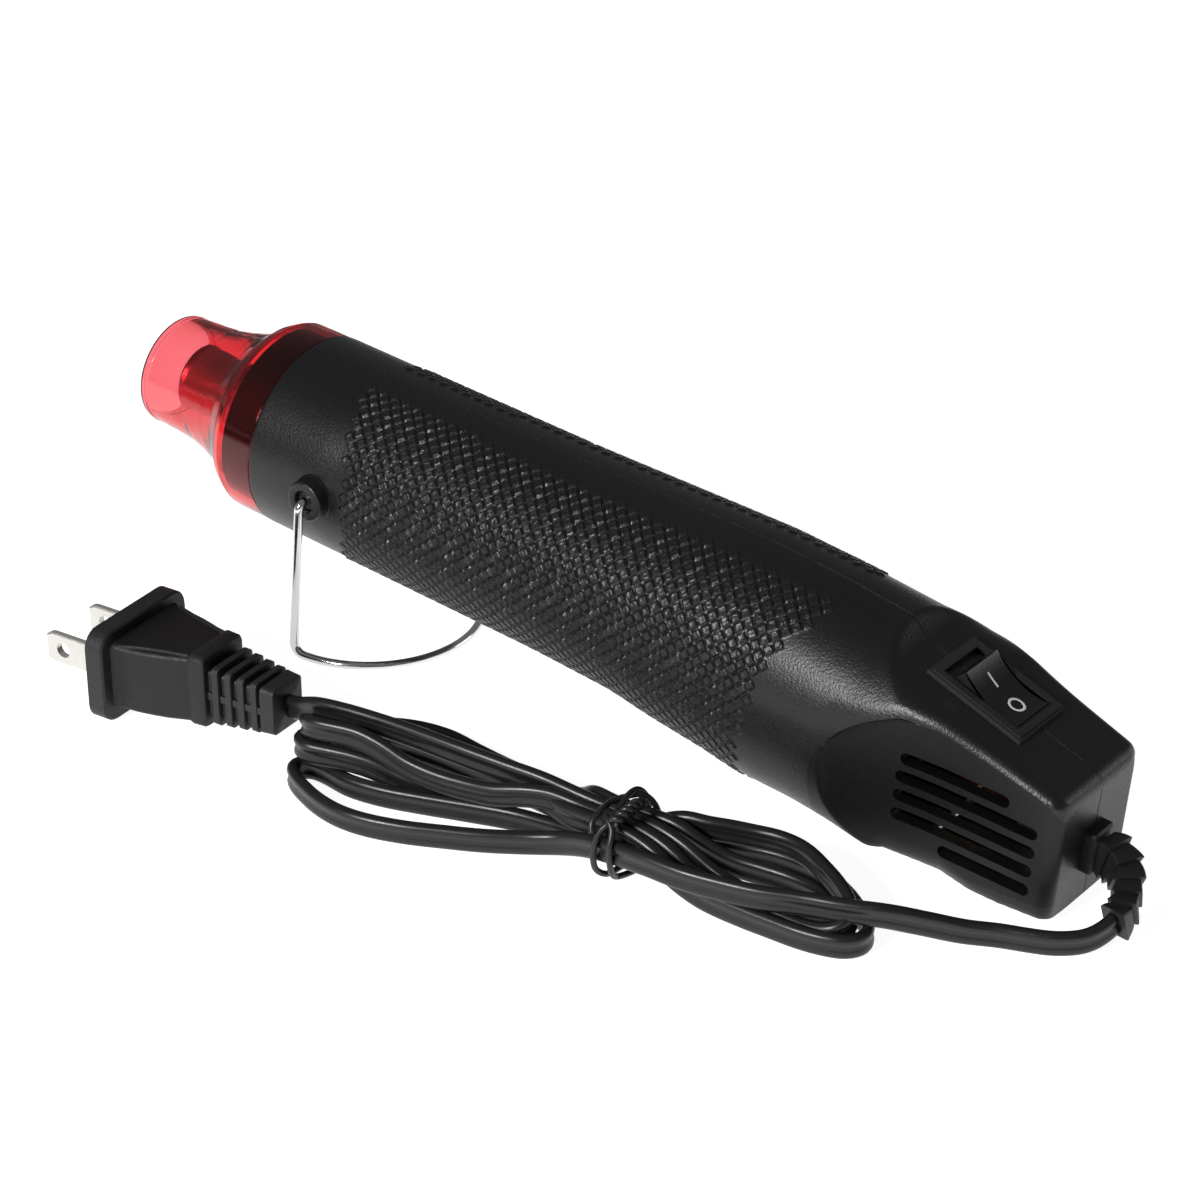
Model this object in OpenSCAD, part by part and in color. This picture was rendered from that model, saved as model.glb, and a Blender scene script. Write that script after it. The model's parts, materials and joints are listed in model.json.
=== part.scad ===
// Embossing heat tool: a pen-like hot air gun that stands nose up on a wire bail.
// Millimetres, +Z up, nose towards -X, switch on top of the tail, cord leaving the tail.
// Most pieces are drawn in the tool's own frame, with X along the barrel from the
// front edge of the housing, and in_tool() tilts that frame onto the bench.

/* [Housing] */
// Length of the housing from its front edge to the tail face
body_len = 184; // [178:1:200]
// Radius of the housing at its front edge
body_r = 20.1; // [20.1:0.1:22]
// Wall of the housing
wall = 2; // [1.6:0.1:2.4]
// Half width of the flat vented panels at the tail
panel_y = 13.6; // [13:0.1:15]
// Number of long air slots in each side
slot_count = 5; // [3:1:5]
// Height of an air slot
slot_h = 2.5; // [1.5:0.1:2.8]
// Height from one air slot to the next
slot_pitch = 4; // [3.6:0.1:4.2]

/* [Resting] */
// Angle at which the nose is held up
tilt = 5; // [4.5:0.5:6]
// Height of the barrel's axis over the bench, at the housing's front edge
axis_h = 37.9; // [37:0.1:40]

/* [Nozzle guard] */
// How far the guard stands out of the housing
guard_len = 38; // [36:1:46]
// Length of the collar at the root of the guard
collar_len = 10; // [8:0.5:12]
// Outer radius of the guard's mouth
mouth_r = 11.5; // [11.3:0.1:13]
// Wall of the guard
guard_t = 1.6; // [1.2:0.1:2]

/* [Hot end] */
// Outer radius of the steel nozzle
nozzle_r = 6.8; // [6:0.1:7.4]
// How far the nozzle's mouth lies behind the guard's mouth
nozzle_back = 7; // [4:0.5:12]
// Outer radius of the steel heater barrel
barrel_r = 14; // [13:0.1:14.4]
// Thickness of the steel sheet
steel_t = 0.5; // [0.4:0.1:0.8]

/* [Motor and fan] */
// Radius of the motor can
motor_r = 12; // [11:0.1:12.6]
// Length of the motor can
motor_len = 22; // [20:1:24]
// Radius of the motor shaft
shaft_r = 1; // [0.8:0.1:1.6]
// Radius over the fan blades
fan_r = 16.2; // [14:0.1:16.5]
// Number of fan blades
fan_blades = 7; // [5:1:9]

/* [Switch] */
// Length of the switch's rim
rim_l = 21; // [20:0.5:22]
// Width of the switch's rim
rim_w = 15; // [14:0.5:16]
// Tilt of the rocker either side of level
rock = 13; // [9:1:14]

/* [Wire stand] */
// Thickness of the stand's wire
wire_d = 1.8; // [1.5:0.1:2]
// Distance of the stand's pivot behind the housing's front edge
pivot_x = 17; // [15:0.5:20]
// Half width of the stand's foot
foot_y = 22; // [21.6:0.1:24]

/* [Cord] */
// Width of the flat cord
cord_w = 4.8; // [4.6:0.1:5]
// Thickness of the flat cord
cord_t = 2.4; // [2.2:0.1:2.6]
// Radial clearance of pins in their bores
run_gap = 0.06; // [0.04:0.01:0.09]
// Clearance where one fixed piece sits inside another
seat_gap = 0.1; // [0.05:0.05:0.2]

/* [Hidden] */
$fn = 64;
far = 200;

// Outlines of the housing, written along the barrel
side_bulge_x = 120;
side_bulge_r = body_r + 3.7;
belly_x = body_len - 34;
top_rise = 1.1;
bottom_r = body_r + 0.1;
facet_slope = 16.3;
facet_x = body_len - 23.65;
facet_z = body_r - 8.9;
step_x = body_len - 43;
tail_flat_x0 = body_len - 21;
tail_flat_x1 = body_len - 6;
function facet_at(x) = facet_z - (x - facet_x) * tan(facet_slope);
function bench_at(x) = (x * sin(tilt) - axis_h) / cos(tilt);
tail_r = 1.2 - bench_at(tail_flat_x0);
upper_profile = [
  [0, body_r], [60, body_r + 0.1], [105, body_r + top_rise], [side_bulge_x, body_r + 0.7],
  [step_x, body_r], [body_len, body_r]
];
lower_profile = [
  [0, body_r], [65, body_r + 0.1], [84, body_r + 0.4], [99, body_r + 1.6],
  [side_bulge_x, side_bulge_r], [belly_x, tail_r + 1.1], [body_len - 16, tail_r],
  [body_len, tail_r]
];
tail_round = 3;

// Stations of the inner pieces along the barrel
plate_x = 5.5;
plate_t = 2;
flare_x = plate_x + plate_t + 1;
barrel_x = flare_x + 7;
barrel_end = 54;
ring_t = 4;
fan_x = 68;
fan_w = 9;
motor_x = 84;
motor_wall = 1;
cap_t = 3;
brush_y = 6;
mount_x = motor_x + 7;
mount_w = 4;
lead_y = (motor_r + body_r - wall + 0.7) / 2;
board_x = motor_x + motor_len + cap_t + 5;
board_l = 27;
board_w = 24;
board_z = -11;
board_t = 1.6;
board_end = board_x + board_l;
screw_r = 1.2;
head_r = 2.3;
post_r = 3.7;
head_y = 8;
under_motor = max(17, motor_r + post_r + 0.5);
screw_spots = [[61.5, -15], [61.5, 15], [103.5, -under_motor], [body_len - 29, -19]];

// Switch, in its own frame with Z out of the facet
rim_t = 1.3;
open_l = rim_l - 4.2;
open_w = rim_w - 4;
box_l = rim_l - 2.2;
box_w = rim_w - 2.4;
box_d = 12;
box_t = 1;
rocker_pivot_z = -0.6;
rocker_pin_r = 1;
rocker_top = 3.6;
contact_z = -8;

// Wire stand
wire_r = wire_d / 2;
boss_r = 4.1;
boss_y = body_r + 2.7;
pin_depth = 3.6;
leg_gap = 0.12;
foot_shift = 5.1;
arc_shift = 1.9;

// The tool's box on the bench, without the cord, is centred on X = 0
nose_reach = -guard_len * cos(tilt) - mouth_r * sin(tilt);
tail_reach = body_len * cos(tilt) + (facet_at(body_len) - 3) * sin(tilt);
mid_x = (nose_reach + tail_reach) / 2;
pivot_bx = pivot_x * cos(tilt) - mid_x;
pivot_bz = axis_h - pivot_x * sin(tilt);
boss_share = boss_r / pivot_bz;
leg_top_y = (boss_y + wire_r + leg_gap - foot_y * boss_share) / (1 - boss_share);
function to_bench(x, y, z) = [
  x * cos(tilt) + z * sin(tilt) - mid_x, y, axis_h - x * sin(tilt) + z * cos(tilt)
];

// Cord: the hank's loops, then the two leads along points chosen by hand
loops = 3;
loop_rings = 24;
hank_y = -44;
hank_turn = 8.5;
hank_start = 295;
loop_a = 53;
loop_e = 13;
loop_v = 2;
step_a = 3.4;
step_e = 7;
step_v = 3.3;
layer_gap = 0.8;
waist_lift = 1.6;
tie_d = 1.3;

relief_x = body_len;
relief_w = 6.6;
relief_h = 9;
relief_z = -10.3;
relief_flange = 2.3;
clamp_x = body_len - 9;
core_d = 1.8;
lead_d = 1.2;
relief_root = to_bench(relief_x + relief_flange, 0, relief_z);
shift_x = relief_root[0] - 112.4;
relief_route = [
  for (p = [[3.4, -0.5, 0.93], [6, -1.8, 0.77], [7.6, -4.2, 0.56], [8.4, -7, 0.41]])
    [relief_root[0] + p[0], p[1], relief_root[2] * p[2]]
];
tool_route = [
  for (p = [
    [119, -14.6, 3], [116, -18, 2.5], [112, -20.6, 2.5], [106, -23.4, 2.5],
    [101, -26.6, 2.5], [97.4, -31.4, 2.5], [95.8, -37, 2.5], [92.6, -43, 2.5],
    [87, -48, 2.5], [79, -52.4, 2.5], [71, -55, 2.8]
  ]) p + [shift_x, 0, 0]
];
plug_route = [
  for (p = [
    [45, -53.8, 10.2], [37, -51, 12.2], [29, -51.2, 13.9], [20, -49.6, 14.8],
    [8, -46.6, 14.4], [-4, -44.8, 13.8], [-16, -45.2, 13.4], [-25.5, -47.2, 13]
  ]) p + [shift_x, 0, 0]
];

hank_x = shift_x + 32.5;

// Plug, in its own frame with X along the plug from the blades' tips
plug_x = shift_x - 89.7;
plug_y = -54.4;
plug_z = 10.1;
plug_turn = 5;
blade_l = 16;
blade_w = 6.35;
blade_t = 1.5;
blade_gap = 12.7;
flange_w = 26.6;
flange_h = 20;
flange_t = 4;
boot_end = 54;

module in_tool() {
  translate([-mid_x, 0, axis_h])
    rotate([0, tilt, 0])
      children();
}

// A cylinder, and a solid of revolution, along the barrel
module rod(x, l, r) {
  translate([x, 0, 0])
    rotate([0, 90, 0])
      cylinder(h = l, r = r);
}

module turned(points) {
  rotate([0, 90, 0])
    rotate_extrude()
      polygon([for (p = points) [p[1], p[0]]]);
}

// Half spaces that split the housing, and slabs drawn from the side or from above
module half_z(up) {
  translate([-far, -far, up ? 0 : -far])
    cube([3 * far, 2 * far, far]);
}

module from_side(points) {
  rotate([90, 0, 0])
    translate([0, 0, -far / 2])
      linear_extrude(far)
        polygon(points);
}

module from_above(points) {
  translate([0, 0, -far / 2])
    linear_extrude(far)
      polygon(points);
}

// The housing's solid, drawn in by a wall all round; the tail face is drawn in too
module housing_form(inset, front) {
  end_x = body_len - inset;
  top = [
    [step_x, body_r - 0.7 - inset], [step_x + 4, facet_at(step_x + 4) - inset],
    [end_x - tail_round, facet_at(end_x - tail_round) - inset],
    [end_x - 0.8, facet_at(end_x) - 1.2 - inset], [end_x, facet_at(end_x) - 3 - inset]
  ];
  bottom = [
    [end_x, -bottom_r + 2 + inset], [end_x - 2, bench_at(end_x - 2) + 2 + inset],
    [tail_flat_x1, bench_at(tail_flat_x1) + inset],
    [tail_flat_x0, bench_at(tail_flat_x0) + inset],
    [belly_x, max(-bottom_r - 3.9, bench_at(belly_x) + 0.9) + inset],
    [side_bulge_x, -bottom_r - 3 + inset],
    [95, -bottom_r - 0.9 + inset], [70, -bottom_r - 0.3 + inset], [front, -far / 4]
  ];
  side = concat([[front, far / 4], [step_x - 6, far / 4]], top, bottom);
  intersection() {
    union() {
      intersection() {
        turned(concat(
          [[front, 0]], [for (p = upper_profile) [max(front, p[0]), p[1] - inset]], [[body_len, 0]]
        ));
        half_z(true);
      }
      intersection() {
        turned(concat(
          [[front, 0]], [for (p = lower_profile) [max(front, p[0]), p[1] - inset]], [[body_len, 0]]
        ));
        half_z(false);
        from_above(plan_outline(inset, front));
      }
    }
    from_side(side);
    from_above(panel_outline(inset, front));
  }
}

// Half widths from above: the lower half keeps to the upper half's width,
// then both draw in along the scooped panels
function mirrored(points) = concat(
  points, [for (i = [len(points) - 1:-1:0]) [points[i][0], -points[i][1]]]
);
function plan_outline(inset, front) = mirrored([
  for (p = upper_profile) [max(front, p[0]), p[1] - inset]
]);
function panel_outline(inset, front) = mirrored([
  [front, far / 4], [body_len - 48, far / 4], [body_len - 48, body_r + 2 - inset],
  [body_len - 46, body_r - 0.4 - inset], [body_len - 42, panel_y + 4 - inset],
  [body_len - 36, panel_y + 1.8 - inset], [body_len - 30, panel_y + 0.6 - inset],
  [body_len - 22, panel_y - inset], [body_len, panel_y - 0.4 - inset]
]);

// One slot in each side wall: a bar with round ends that runs along X
module slot(x0, x1, z, h) {
  for (side = [0, 1])
    mirror([0, side, 0])
      rotate([90, 0, 0])
        translate([0, 0, panel_y - wall - 1.6])
          linear_extrude(far) {
            translate([x0 + h / 2, z - h / 2])
              square([x1 - x0 - h, h]);
            for (x = [x0 + h / 2, x1 - h / 2])
              translate([x, z])
                circle(r = h / 2);
          }
}

module switch_frame() {
  translate([facet_x, 0, facet_z])
    rotate([0, facet_slope, 0])
      children();
}

// Everything both shells share before the housing is split along its middle
module housing_blank() {
  cable_h = relief_h - 3;
  difference() {
    union() {
      difference() {
        housing_form(0, 0);
        housing_form(wall, -1);
      }
      intersection() {
        housing_form(0.3, 0);
        for (s = screw_spots)
          translate([s[0], 0, s[1]])
            rotate([90, 0, 0])
              cylinder(h = 3 * body_r, r = post_r, center = true);
      }
      intersection() {
        housing_form(0.3, 0);
        union() {
          for (x = [board_x + 3, board_end - 3])
            for (y = [-9, 9])
              translate([x, y, -far / 4])
                cylinder(h = far / 4 + board_z - board_t / 2, r = 1.8);
          for (y = [-5, 5])
            translate([clamp_x, y, -far / 4])
              cylinder(h = far / 4 + relief_z + 1.5, r = 2.4);
        }
      }
      for (s = [-1, 1])
        translate([pivot_x, s * (body_r - 1), 0])
          rotate([-90 * s, 0, 0])
            cylinder(h = boss_y - body_r + 1, r = boss_r);
    }
    rod(-1, plate_x + plate_t + 1, body_r - wall);
    for (s = [-1, 1])
      translate([pivot_x, s * boss_y, 0])
        rotate([90 * s, 0, 0]) {
          translate([0, 0, -1])
            cylinder(h = pin_depth + 1.2, r = wire_r + run_gap);
          translate([0, 0, -1])
            cylinder(h = 1.9, r = 2);
          translate([-boss_r - 1, -0.9, -1])
            cube([boss_r, 1.8, 1.9]);
        }
    for (i = [0:slot_count - 1])
      slot(i == slot_count - 1 ? body_len - 23 : body_len - 33,
        i == 0 ? body_len - 10.5 : body_len - 4.3, 0.2 - i * slot_pitch, slot_h);
    for (y = [-5, 5])
      translate([clamp_x, y, relief_z - 3])
        cylinder(h = 5, r = screw_r + run_gap);
    switch_frame()
      translate([-box_l / 2 - seat_gap, -box_w / 2 - seat_gap, -8])
        cube([box_l + 2 * seat_gap, box_w + 2 * seat_gap, 12]);
    translate([body_len - wall - 1, -2.7 - seat_gap, relief_z - cable_h / 2 - seat_gap])
      cube([wall + 2, 5.4 + 2 * seat_gap, cable_h + 2 * seat_gap]);
  }
}

module left_shell() {
  color("dimgray")
    in_tool()
      difference() {
        intersection() {
          housing_blank();
          translate([-far, -far, -far])
            cube([3 * far, far, 2 * far]);
        }
        for (s = screw_spots)
          translate([s[0], 0, s[1]])
            rotate([90, 0, 0])
              translate([0, 0, -1])
                cylinder(h = 7.5, r = screw_r + run_gap);
      }
}

module right_shell() {
  color("gray")
    in_tool()
      difference() {
        intersection() {
          housing_blank();
          translate([-far, 0, -far])
            cube([3 * far, far, 2 * far]);
        }
        for (s = screw_spots)
          translate([s[0], 0, s[1]])
            rotate([-90, 0, 0]) {
              translate([0, 0, -1])
                cylinder(h = far, r = screw_r + run_gap);
              translate([0, 0, head_y])
                cylinder(h = far, r = head_r + 0.2);
            }
      }
}

module housing_screws() {
  color("silver")
    in_tool()
      for (s = screw_spots)
        translate([s[0], 0, s[1]])
          rotate([-90, 0, 0])
            difference() {
              union() {
                translate([0, 0, -6])
                  cylinder(h = 6 + head_y, r = screw_r);
                translate([0, 0, head_y])
                  cylinder(h = 1.4, r = head_r);
              }
              for (a = [0, 90])
                rotate([0, 0, a])
                  translate([-1.4, -0.25, head_y + 0.6])
                    cube([2.8, 0.5, 2]);
            }
}

// Clear guard: a collar on the housing's front edge, a waist and an open mouth
module nozzle_guard() {
  spigot_r = body_r - wall - seat_gap;
  neck = mouth_r + 0.1;
  outer = [
    [-guard_len, mouth_r], [-guard_len + 7.5, neck], [-guard_len + 11.5, neck + 0.5],
    [-guard_len + 15.5, neck + 1.8], [-collar_len - 8.6, neck + 3.6],
    [-collar_len - 6, neck + 5.4], [-collar_len - 3.4, body_r - 1.5],
    [-collar_len - 1, body_r - 0.5], [-collar_len + 1, body_r]
  ];
  inner = [for (i = [len(outer) - 1:-1:0]) [outer[i][0] + (i == 0 ? 0 : 0.9), outer[i][1] - guard_t]];
  color("red", 0.6)
    in_tool()
      turned(concat(
        outer,
        [[0, body_r], [0, spigot_r], [plate_x - 0.5, spigot_r], [plate_x - 0.5, spigot_r - guard_t],
          [-1, spigot_r - guard_t], [-2, body_r - guard_t]],
        inner
      ));
}

// Steel nozzle that flares into the heater barrel
module nozzle_tube() {
  x0 = -guard_len + nozzle_back;
  color("silver")
    in_tool()
      turned([
        [x0, nozzle_r - steel_t], [x0, nozzle_r], [flare_x, nozzle_r], [barrel_x, barrel_r],
        [barrel_end, barrel_r], [barrel_end, barrel_r - steel_t],
        [barrel_x + 0.2, barrel_r - steel_t], [flare_x + 0.2, nozzle_r - steel_t]
      ]);
}

// Dark disc behind the guard, with a ring that lines the guard's collar
module nozzle_plate() {
  ring_r = body_r - wall - seat_gap - guard_t - 0.2;
  ring_reach = collar_len - 1.8;
  color("black")
    in_tool()
      difference() {
        union() {
          rod(plate_x, plate_t, body_r - wall - seat_gap);
          rod(-ring_reach, plate_x + ring_reach + 0.1, ring_r);
        }
        rod(plate_x - 1, plate_t + 2, nozzle_r + seat_gap);
        rod(-ring_reach - 1, plate_x + ring_reach + 1, ring_r - 1.4);
      }
}

module duct_ring() {
  color("black")
    in_tool()
      difference() {
        rod(barrel_end - ring_t + 1, ring_t, body_r - wall - seat_gap);
        rod(barrel_end - ring_t, ring_t + 2, barrel_r + seat_gap);
      }
}

module mica_sleeve() {
  color("tan")
    in_tool()
      difference() {
        rod(barrel_x + 2, barrel_end - barrel_x - 3, barrel_r - steel_t - 0.2);
        rod(barrel_x + 1, barrel_end - barrel_x, barrel_r - steel_t - 0.7);
      }
}

module mica_cross() {
  w = barrel_r - steel_t - 2.3;
  color("wheat")
    in_tool()
      for (a = [0, 90])
        rotate([a, 0, 0])
          translate([barrel_x + 4, -w, -0.3])
            cube([barrel_end - barrel_x - 8, 2 * w, 0.6]);
}

// The resistance ribbon's turns round the mica cross, joined by its return wire
module heating_coil() {
  r = barrel_r - steel_t - 1.4;
  color("orange")
    in_tool() {
      for (i = [0:6])
        translate([barrel_x + 6 + i * (barrel_end - barrel_x - 14) / 6, 0, 0])
          difference() {
            rod(0, 0.9, r);
            rod(-1, 3, r - 0.7);
          }
      translate([0, (r - 0.35) * sin(45), (r - 0.35) * cos(45)])
        rod(barrel_x + 6.3, barrel_end - barrel_x - 8, 0.5);
    }
}

module thermal_fuse() {
  color("white")
    in_tool()
      translate([0, 2.3, 2.3])
        rod(barrel_end - 16, 10, 1.7);
}

module motor_can() {
  color("lightsteelblue")
    in_tool()
      difference() {
        union() {
          rod(motor_x, motor_len, motor_r);
          rod(motor_x - 1.5, 2, 3.4);
        }
        rod(motor_x + motor_wall, motor_len, motor_r - motor_wall);
        rod(motor_x - 2, 4, 2.4 + seat_gap);
      }
}

module motor_magnets() {
  r = motor_r - motor_wall - 0.05;
  color("dimgray")
    in_tool()
      for (a = [35, 215])
        rotate([a, 0, 0])
          translate([motor_x + 3, 0, 0])
            rotate([0, 90, 0])
              rotate_extrude(angle = 110)
                translate([r - 1.6, 0])
                  square([1.6, motor_len - 7]);
}

module motor_rotor() {
  r = motor_r - motor_wall - 2.2;
  color("saddlebrown")
    in_tool()
      difference() {
        union() {
          rod(motor_x + 4, motor_len - 10, r);
          rod(motor_x + motor_len - 6, 3.5, 2.6);
        }
        rod(motor_x, motor_len + 4, shaft_r + 0.02);
        for (a = [0, 120, 240])
          rotate([a, 0, 0])
            translate([motor_x, -0.8, 3.5])
              cube([motor_len - 6, 1.6, r]);
      }
}

module motor_shaft() {
  color("silver")
    in_tool()
      rod(fan_x - 2, motor_x + motor_len + 2 - fan_x, shaft_r);
}

module motor_cap() {
  x = motor_x + motor_len;
  color("ivory")
    in_tool()
      difference() {
        union() {
          rod(x, cap_t, motor_r);
          rod(x - 1.5, 2, motor_r - motor_wall - seat_gap);
        }
        rod(x - 2, 3.6, 2.4 + seat_gap);
        for (s = [-1, 1])
          translate([x - 2, s * brush_y - 0.3, -1.6])
            cube([cap_t + 3, 0.6, 3.2]);
      }
}

// Brushes on their leaves, which pass through the cap as terminals
module motor_brushes() {
  x = motor_x + motor_len;
  color("peru")
    in_tool()
      for (s = [-1, 1]) {
        translate([x - 5.4, s * brush_y - 0.2, -1.5])
          cube([12, 0.4, 3]);
        translate([x - 5.4, min(s * brush_y, s * 2.65), -1])
          cube([2.2, brush_y - 2.65, 2]);
      }
}

module motor_bushes() {
  color("gold")
    in_tool()
      for (x = [motor_x - 1.5, motor_x + motor_len - 1.5])
        difference() {
          rod(x, 2.5, 2.4);
          rod(x - 1, 5, shaft_r + run_gap);
        }
}

// Ring and vanes that hold the motor in the air stream
module motor_mount() {
  r = body_r - wall + 0.6;
  color("darkslategray")
    in_tool() {
      difference() {
        rod(mount_x, mount_w, motor_r + 1.5);
        rod(mount_x - 1, mount_w + 2, motor_r + seat_gap);
      }
      difference() {
        rod(mount_x, mount_w, r);
        rod(mount_x - 1, mount_w + 2, r - 1.4);
      }
      for (a = [0:60:300])
        rotate([a, 0, 0])
          translate([mount_x, -0.7, motor_r + 1])
            cube([mount_w, 1.4, r - motor_r - 2]);
    }
}

module fan_impeller() {
  color("whitesmoke")
    in_tool()
      difference() {
        union() {
          rod(fan_x, fan_w, 5);
          rod(fan_x + fan_w - 1.2, 1.2, fan_r - 3);
          for (i = [0:fan_blades - 1])
            rotate([i * 360 / fan_blades, 0, 0])
              translate([fan_x, 0, 4])
                rotate([0, 0, 28])
                  translate([0, -0.6, 0])
                    cube([fan_w - 1, 1.2, fan_r - 4.3]);
        }
        rod(fan_x - 1, fan_w + 2, shaft_r + 0.02);
      }
}

module circuit_board() {
  color("green")
    in_tool()
      translate([board_x, -board_w / 2, board_z - board_t / 2])
        cube([board_l, board_w, board_t]);
}

module rectifier_diodes() {
  color("black")
    in_tool()
      for (i = [0:3])
        translate([board_x + 3, -9 + i * 4, board_z + board_t / 2 + 1.4])
          rotate([0, 90, 0])
            cylinder(h = 5, r = 1.35);
}

module filter_capacitor() {
  color("navy")
    in_tool()
      translate([board_x + 19, 6, board_z + board_t / 2])
        cylinder(h = 9, r = 4);
}

module switch_housing() {
  color("black")
    in_tool()
      switch_frame()
        difference() {
          union() {
            translate([-rim_l / 2, -rim_w / 2, 0])
              cube([rim_l, rim_w, rim_t - 0.4]);
            translate([-rim_l / 2 + 0.5, -rim_w / 2 + 0.5, 0])
              cube([rim_l - 1, rim_w - 1, rim_t]);
            translate([-box_l / 2, -box_w / 2, -box_d])
              cube([box_l, box_w, box_d + 0.1]);
          }
          translate([-open_l / 2, -open_w / 2, -box_d + box_t])
            cube([open_l, open_w, box_d + 4]);
          translate([0, 0, rocker_pivot_z])
            rotate([90, 0, 0])
              cylinder(h = open_w + 1.4, r = rocker_pin_r + run_gap, center = true);
          for (x = [0, 6.4])
            translate([x - 0.4 - seat_gap, -2.4 - seat_gap, -box_d - 1])
              cube([0.8 + 2 * seat_gap, 4.8 + 2 * seat_gap, box_t + 2]);
        }
}

// The rocker rests tilted to OFF, with its nose end up
module switch_rocker() {
  l = open_l / 2;
  body_w = open_w - 0.6;
  steps = 10;
  keel = [
    [-l + 0.4, 0], [-l + 0.5, -1.4], [-3, -2.8], [3, -2.8], [l - 0.5, -1.4], [l - 0.4, 0]
  ];
  dish = [
    for (i = [0:steps])
      let (u = i / steps * 2 - 1)
      [-(l - 2.4) * u, 1.9 + (rocker_top - 1.9) * u * u]
  ];
  color("black")
    in_tool()
      switch_frame()
        translate([0, 0, rocker_pivot_z])
          rotate([0, rock, 0])
            difference() {
              union() {
                rotate([90, 0, 0])
                  linear_extrude(body_w, center = true)
                    polygon(concat(keel, dish));
                rotate([90, 0, 0])
                  cylinder(h = open_w + 1, r = rocker_pin_r, center = true);
                translate([0, 0, -4.6])
                  cylinder(h = 3, r = 2);
              }
              translate([0, 0, -5])
                cylinder(h = 3.4, r = 0.9 + run_gap);
            }
}

module rocker_plunger() {
  color("gold")
    in_tool()
      switch_frame()
        translate([0, 0, rocker_pivot_z])
          rotate([0, rock, 0]) {
            translate([0, 0, -5.6])
              cylinder(h = 3.8, r = 0.9);
            translate([0, 0, -5.6])
              sphere(r = 0.9);
          }
}

// Rocking contact on the middle terminal, tipped the other way
module contact_plate() {
  color("gold")
    in_tool()
      switch_frame()
        translate([0, 0, contact_z])
          rotate([0, -rock / 2, 0]) {
            translate([-6.6, -2, -0.3])
              cube([13.2, 4, 0.6]);
            translate([6, 0, -0.9])
              cylinder(h = 0.7, r = 1);
          }
}

module switch_terminals() {
  bottom = -box_d - 6.5;
  color("goldenrod")
    in_tool()
      switch_frame() {
        translate([-0.4, -2.4, bottom])
          cube([0.8, 4.8, contact_z - 0.5 - bottom]);
        translate([6, -2.4, bottom])
          cube([0.8, 4.8, contact_z - 1.9 - bottom]);
      }
}

// Bar that holds the cord's cores down in the tail
module cord_clamp() {
  color("black")
    in_tool()
      difference() {
        translate([clamp_x - 2.5, -7.5, relief_z + 1.5])
          cube([5, 15, 2.4]);
        for (y = [-5, 5])
          translate([clamp_x, y, relief_z])
            cylinder(h = 6, r = screw_r + run_gap);
      }
}

module clamp_screws() {
  color("silver")
    in_tool()
      for (y = [-5, 5])
        translate([clamp_x, y, relief_z + 3.9]) {
          translate([0, 0, -5.5])
            cylinder(h = 5.5, r = screw_r);
          cylinder(h = 1.3, r = 2);
        }
}

// Wire bail: a pin in each boss, a leg, and a foot that lies flat on the bench
module wire_between(a, b) {
  d = b - a;
  l = norm(d);
  translate(a)
    rotate([0, acos(d[2] / l), atan2(d[1], d[0])])
      cylinder(h = l, r = wire_r);
}

module wire_stand() {
  foot_bx = pivot_bx - foot_shift;
  arc_bx = foot_bx + arc_shift;
  arc_r = norm([foot_y, arc_shift]);
  reach = 90 + atan((arc_shift + wire_r) / foot_y);
  color("silver") {
    for (s = [-1, 1]) {
      top = [pivot_bx, s * leg_top_y, pivot_bz];
      heel = [foot_bx, s * foot_y, wire_r];
      down = unit(heel - top);
      pin = [pivot_bx, s * (boss_y - pin_depth), pivot_bz];
      wire_between(pin, [pivot_bx, s * (leg_top_y + wire_r), pivot_bz]);
      wire_between(top + down * wire_r / 2, heel - down * wire_r / 2);
    }
    translate([arc_bx, 0, wire_r])
      rotate([0, 0, -reach])
        rotate_extrude(angle = 2 * reach)
          translate([arc_r, 0])
            circle(r = wire_r, $fn = 24);
  }
}

// Sweeping a flat section along points: rings stand square to the path
function unit(v) = v / norm(v);
function tangent(p, i) = unit(
  i == 0 ? p[1] - p[0]
  : i == len(p) - 1 ? p[i] - p[i - 1]
  : unit(p[i + 1] - p[i]) + unit(p[i] - p[i - 1])
);
function ring(p, i, section) =
  let (t = tangent(p, i), s = unit(cross(t, [0, 0, 1])), u = cross(s, t))
  [for (q = section) p[i] + s * q[0] + u * q[1]];
module swept(p, section) {
  n = len(section);
  m = len(p);
  last = (m - 1) * n;
  points = [for (i = [0:m - 1]) each ring(p, i, section)];
  sides = [
    for (i = [0:m - 2], j = [0:n - 1])
      let (a = i * n + j, b = i * n + (j + 1) % n)
      each [[a, b, a + n], [b, b + n, a + n]]
  ];
  caps = [for (j = [1:n - 2]) each [[0, j + 1, j], [last, last + j, last + j + 1]]];
  polyhedron(points, concat(sides, caps));
}

// Flat sections on edge, of 6 or 8 sides
function flat_section(w, t, n) = [
  for (i = [0:n - 1]) let (a = 90 + i * 360 / n) [t / 2 / cos(180 / n) * cos(a), w / 2 * sin(a)]
];

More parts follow.
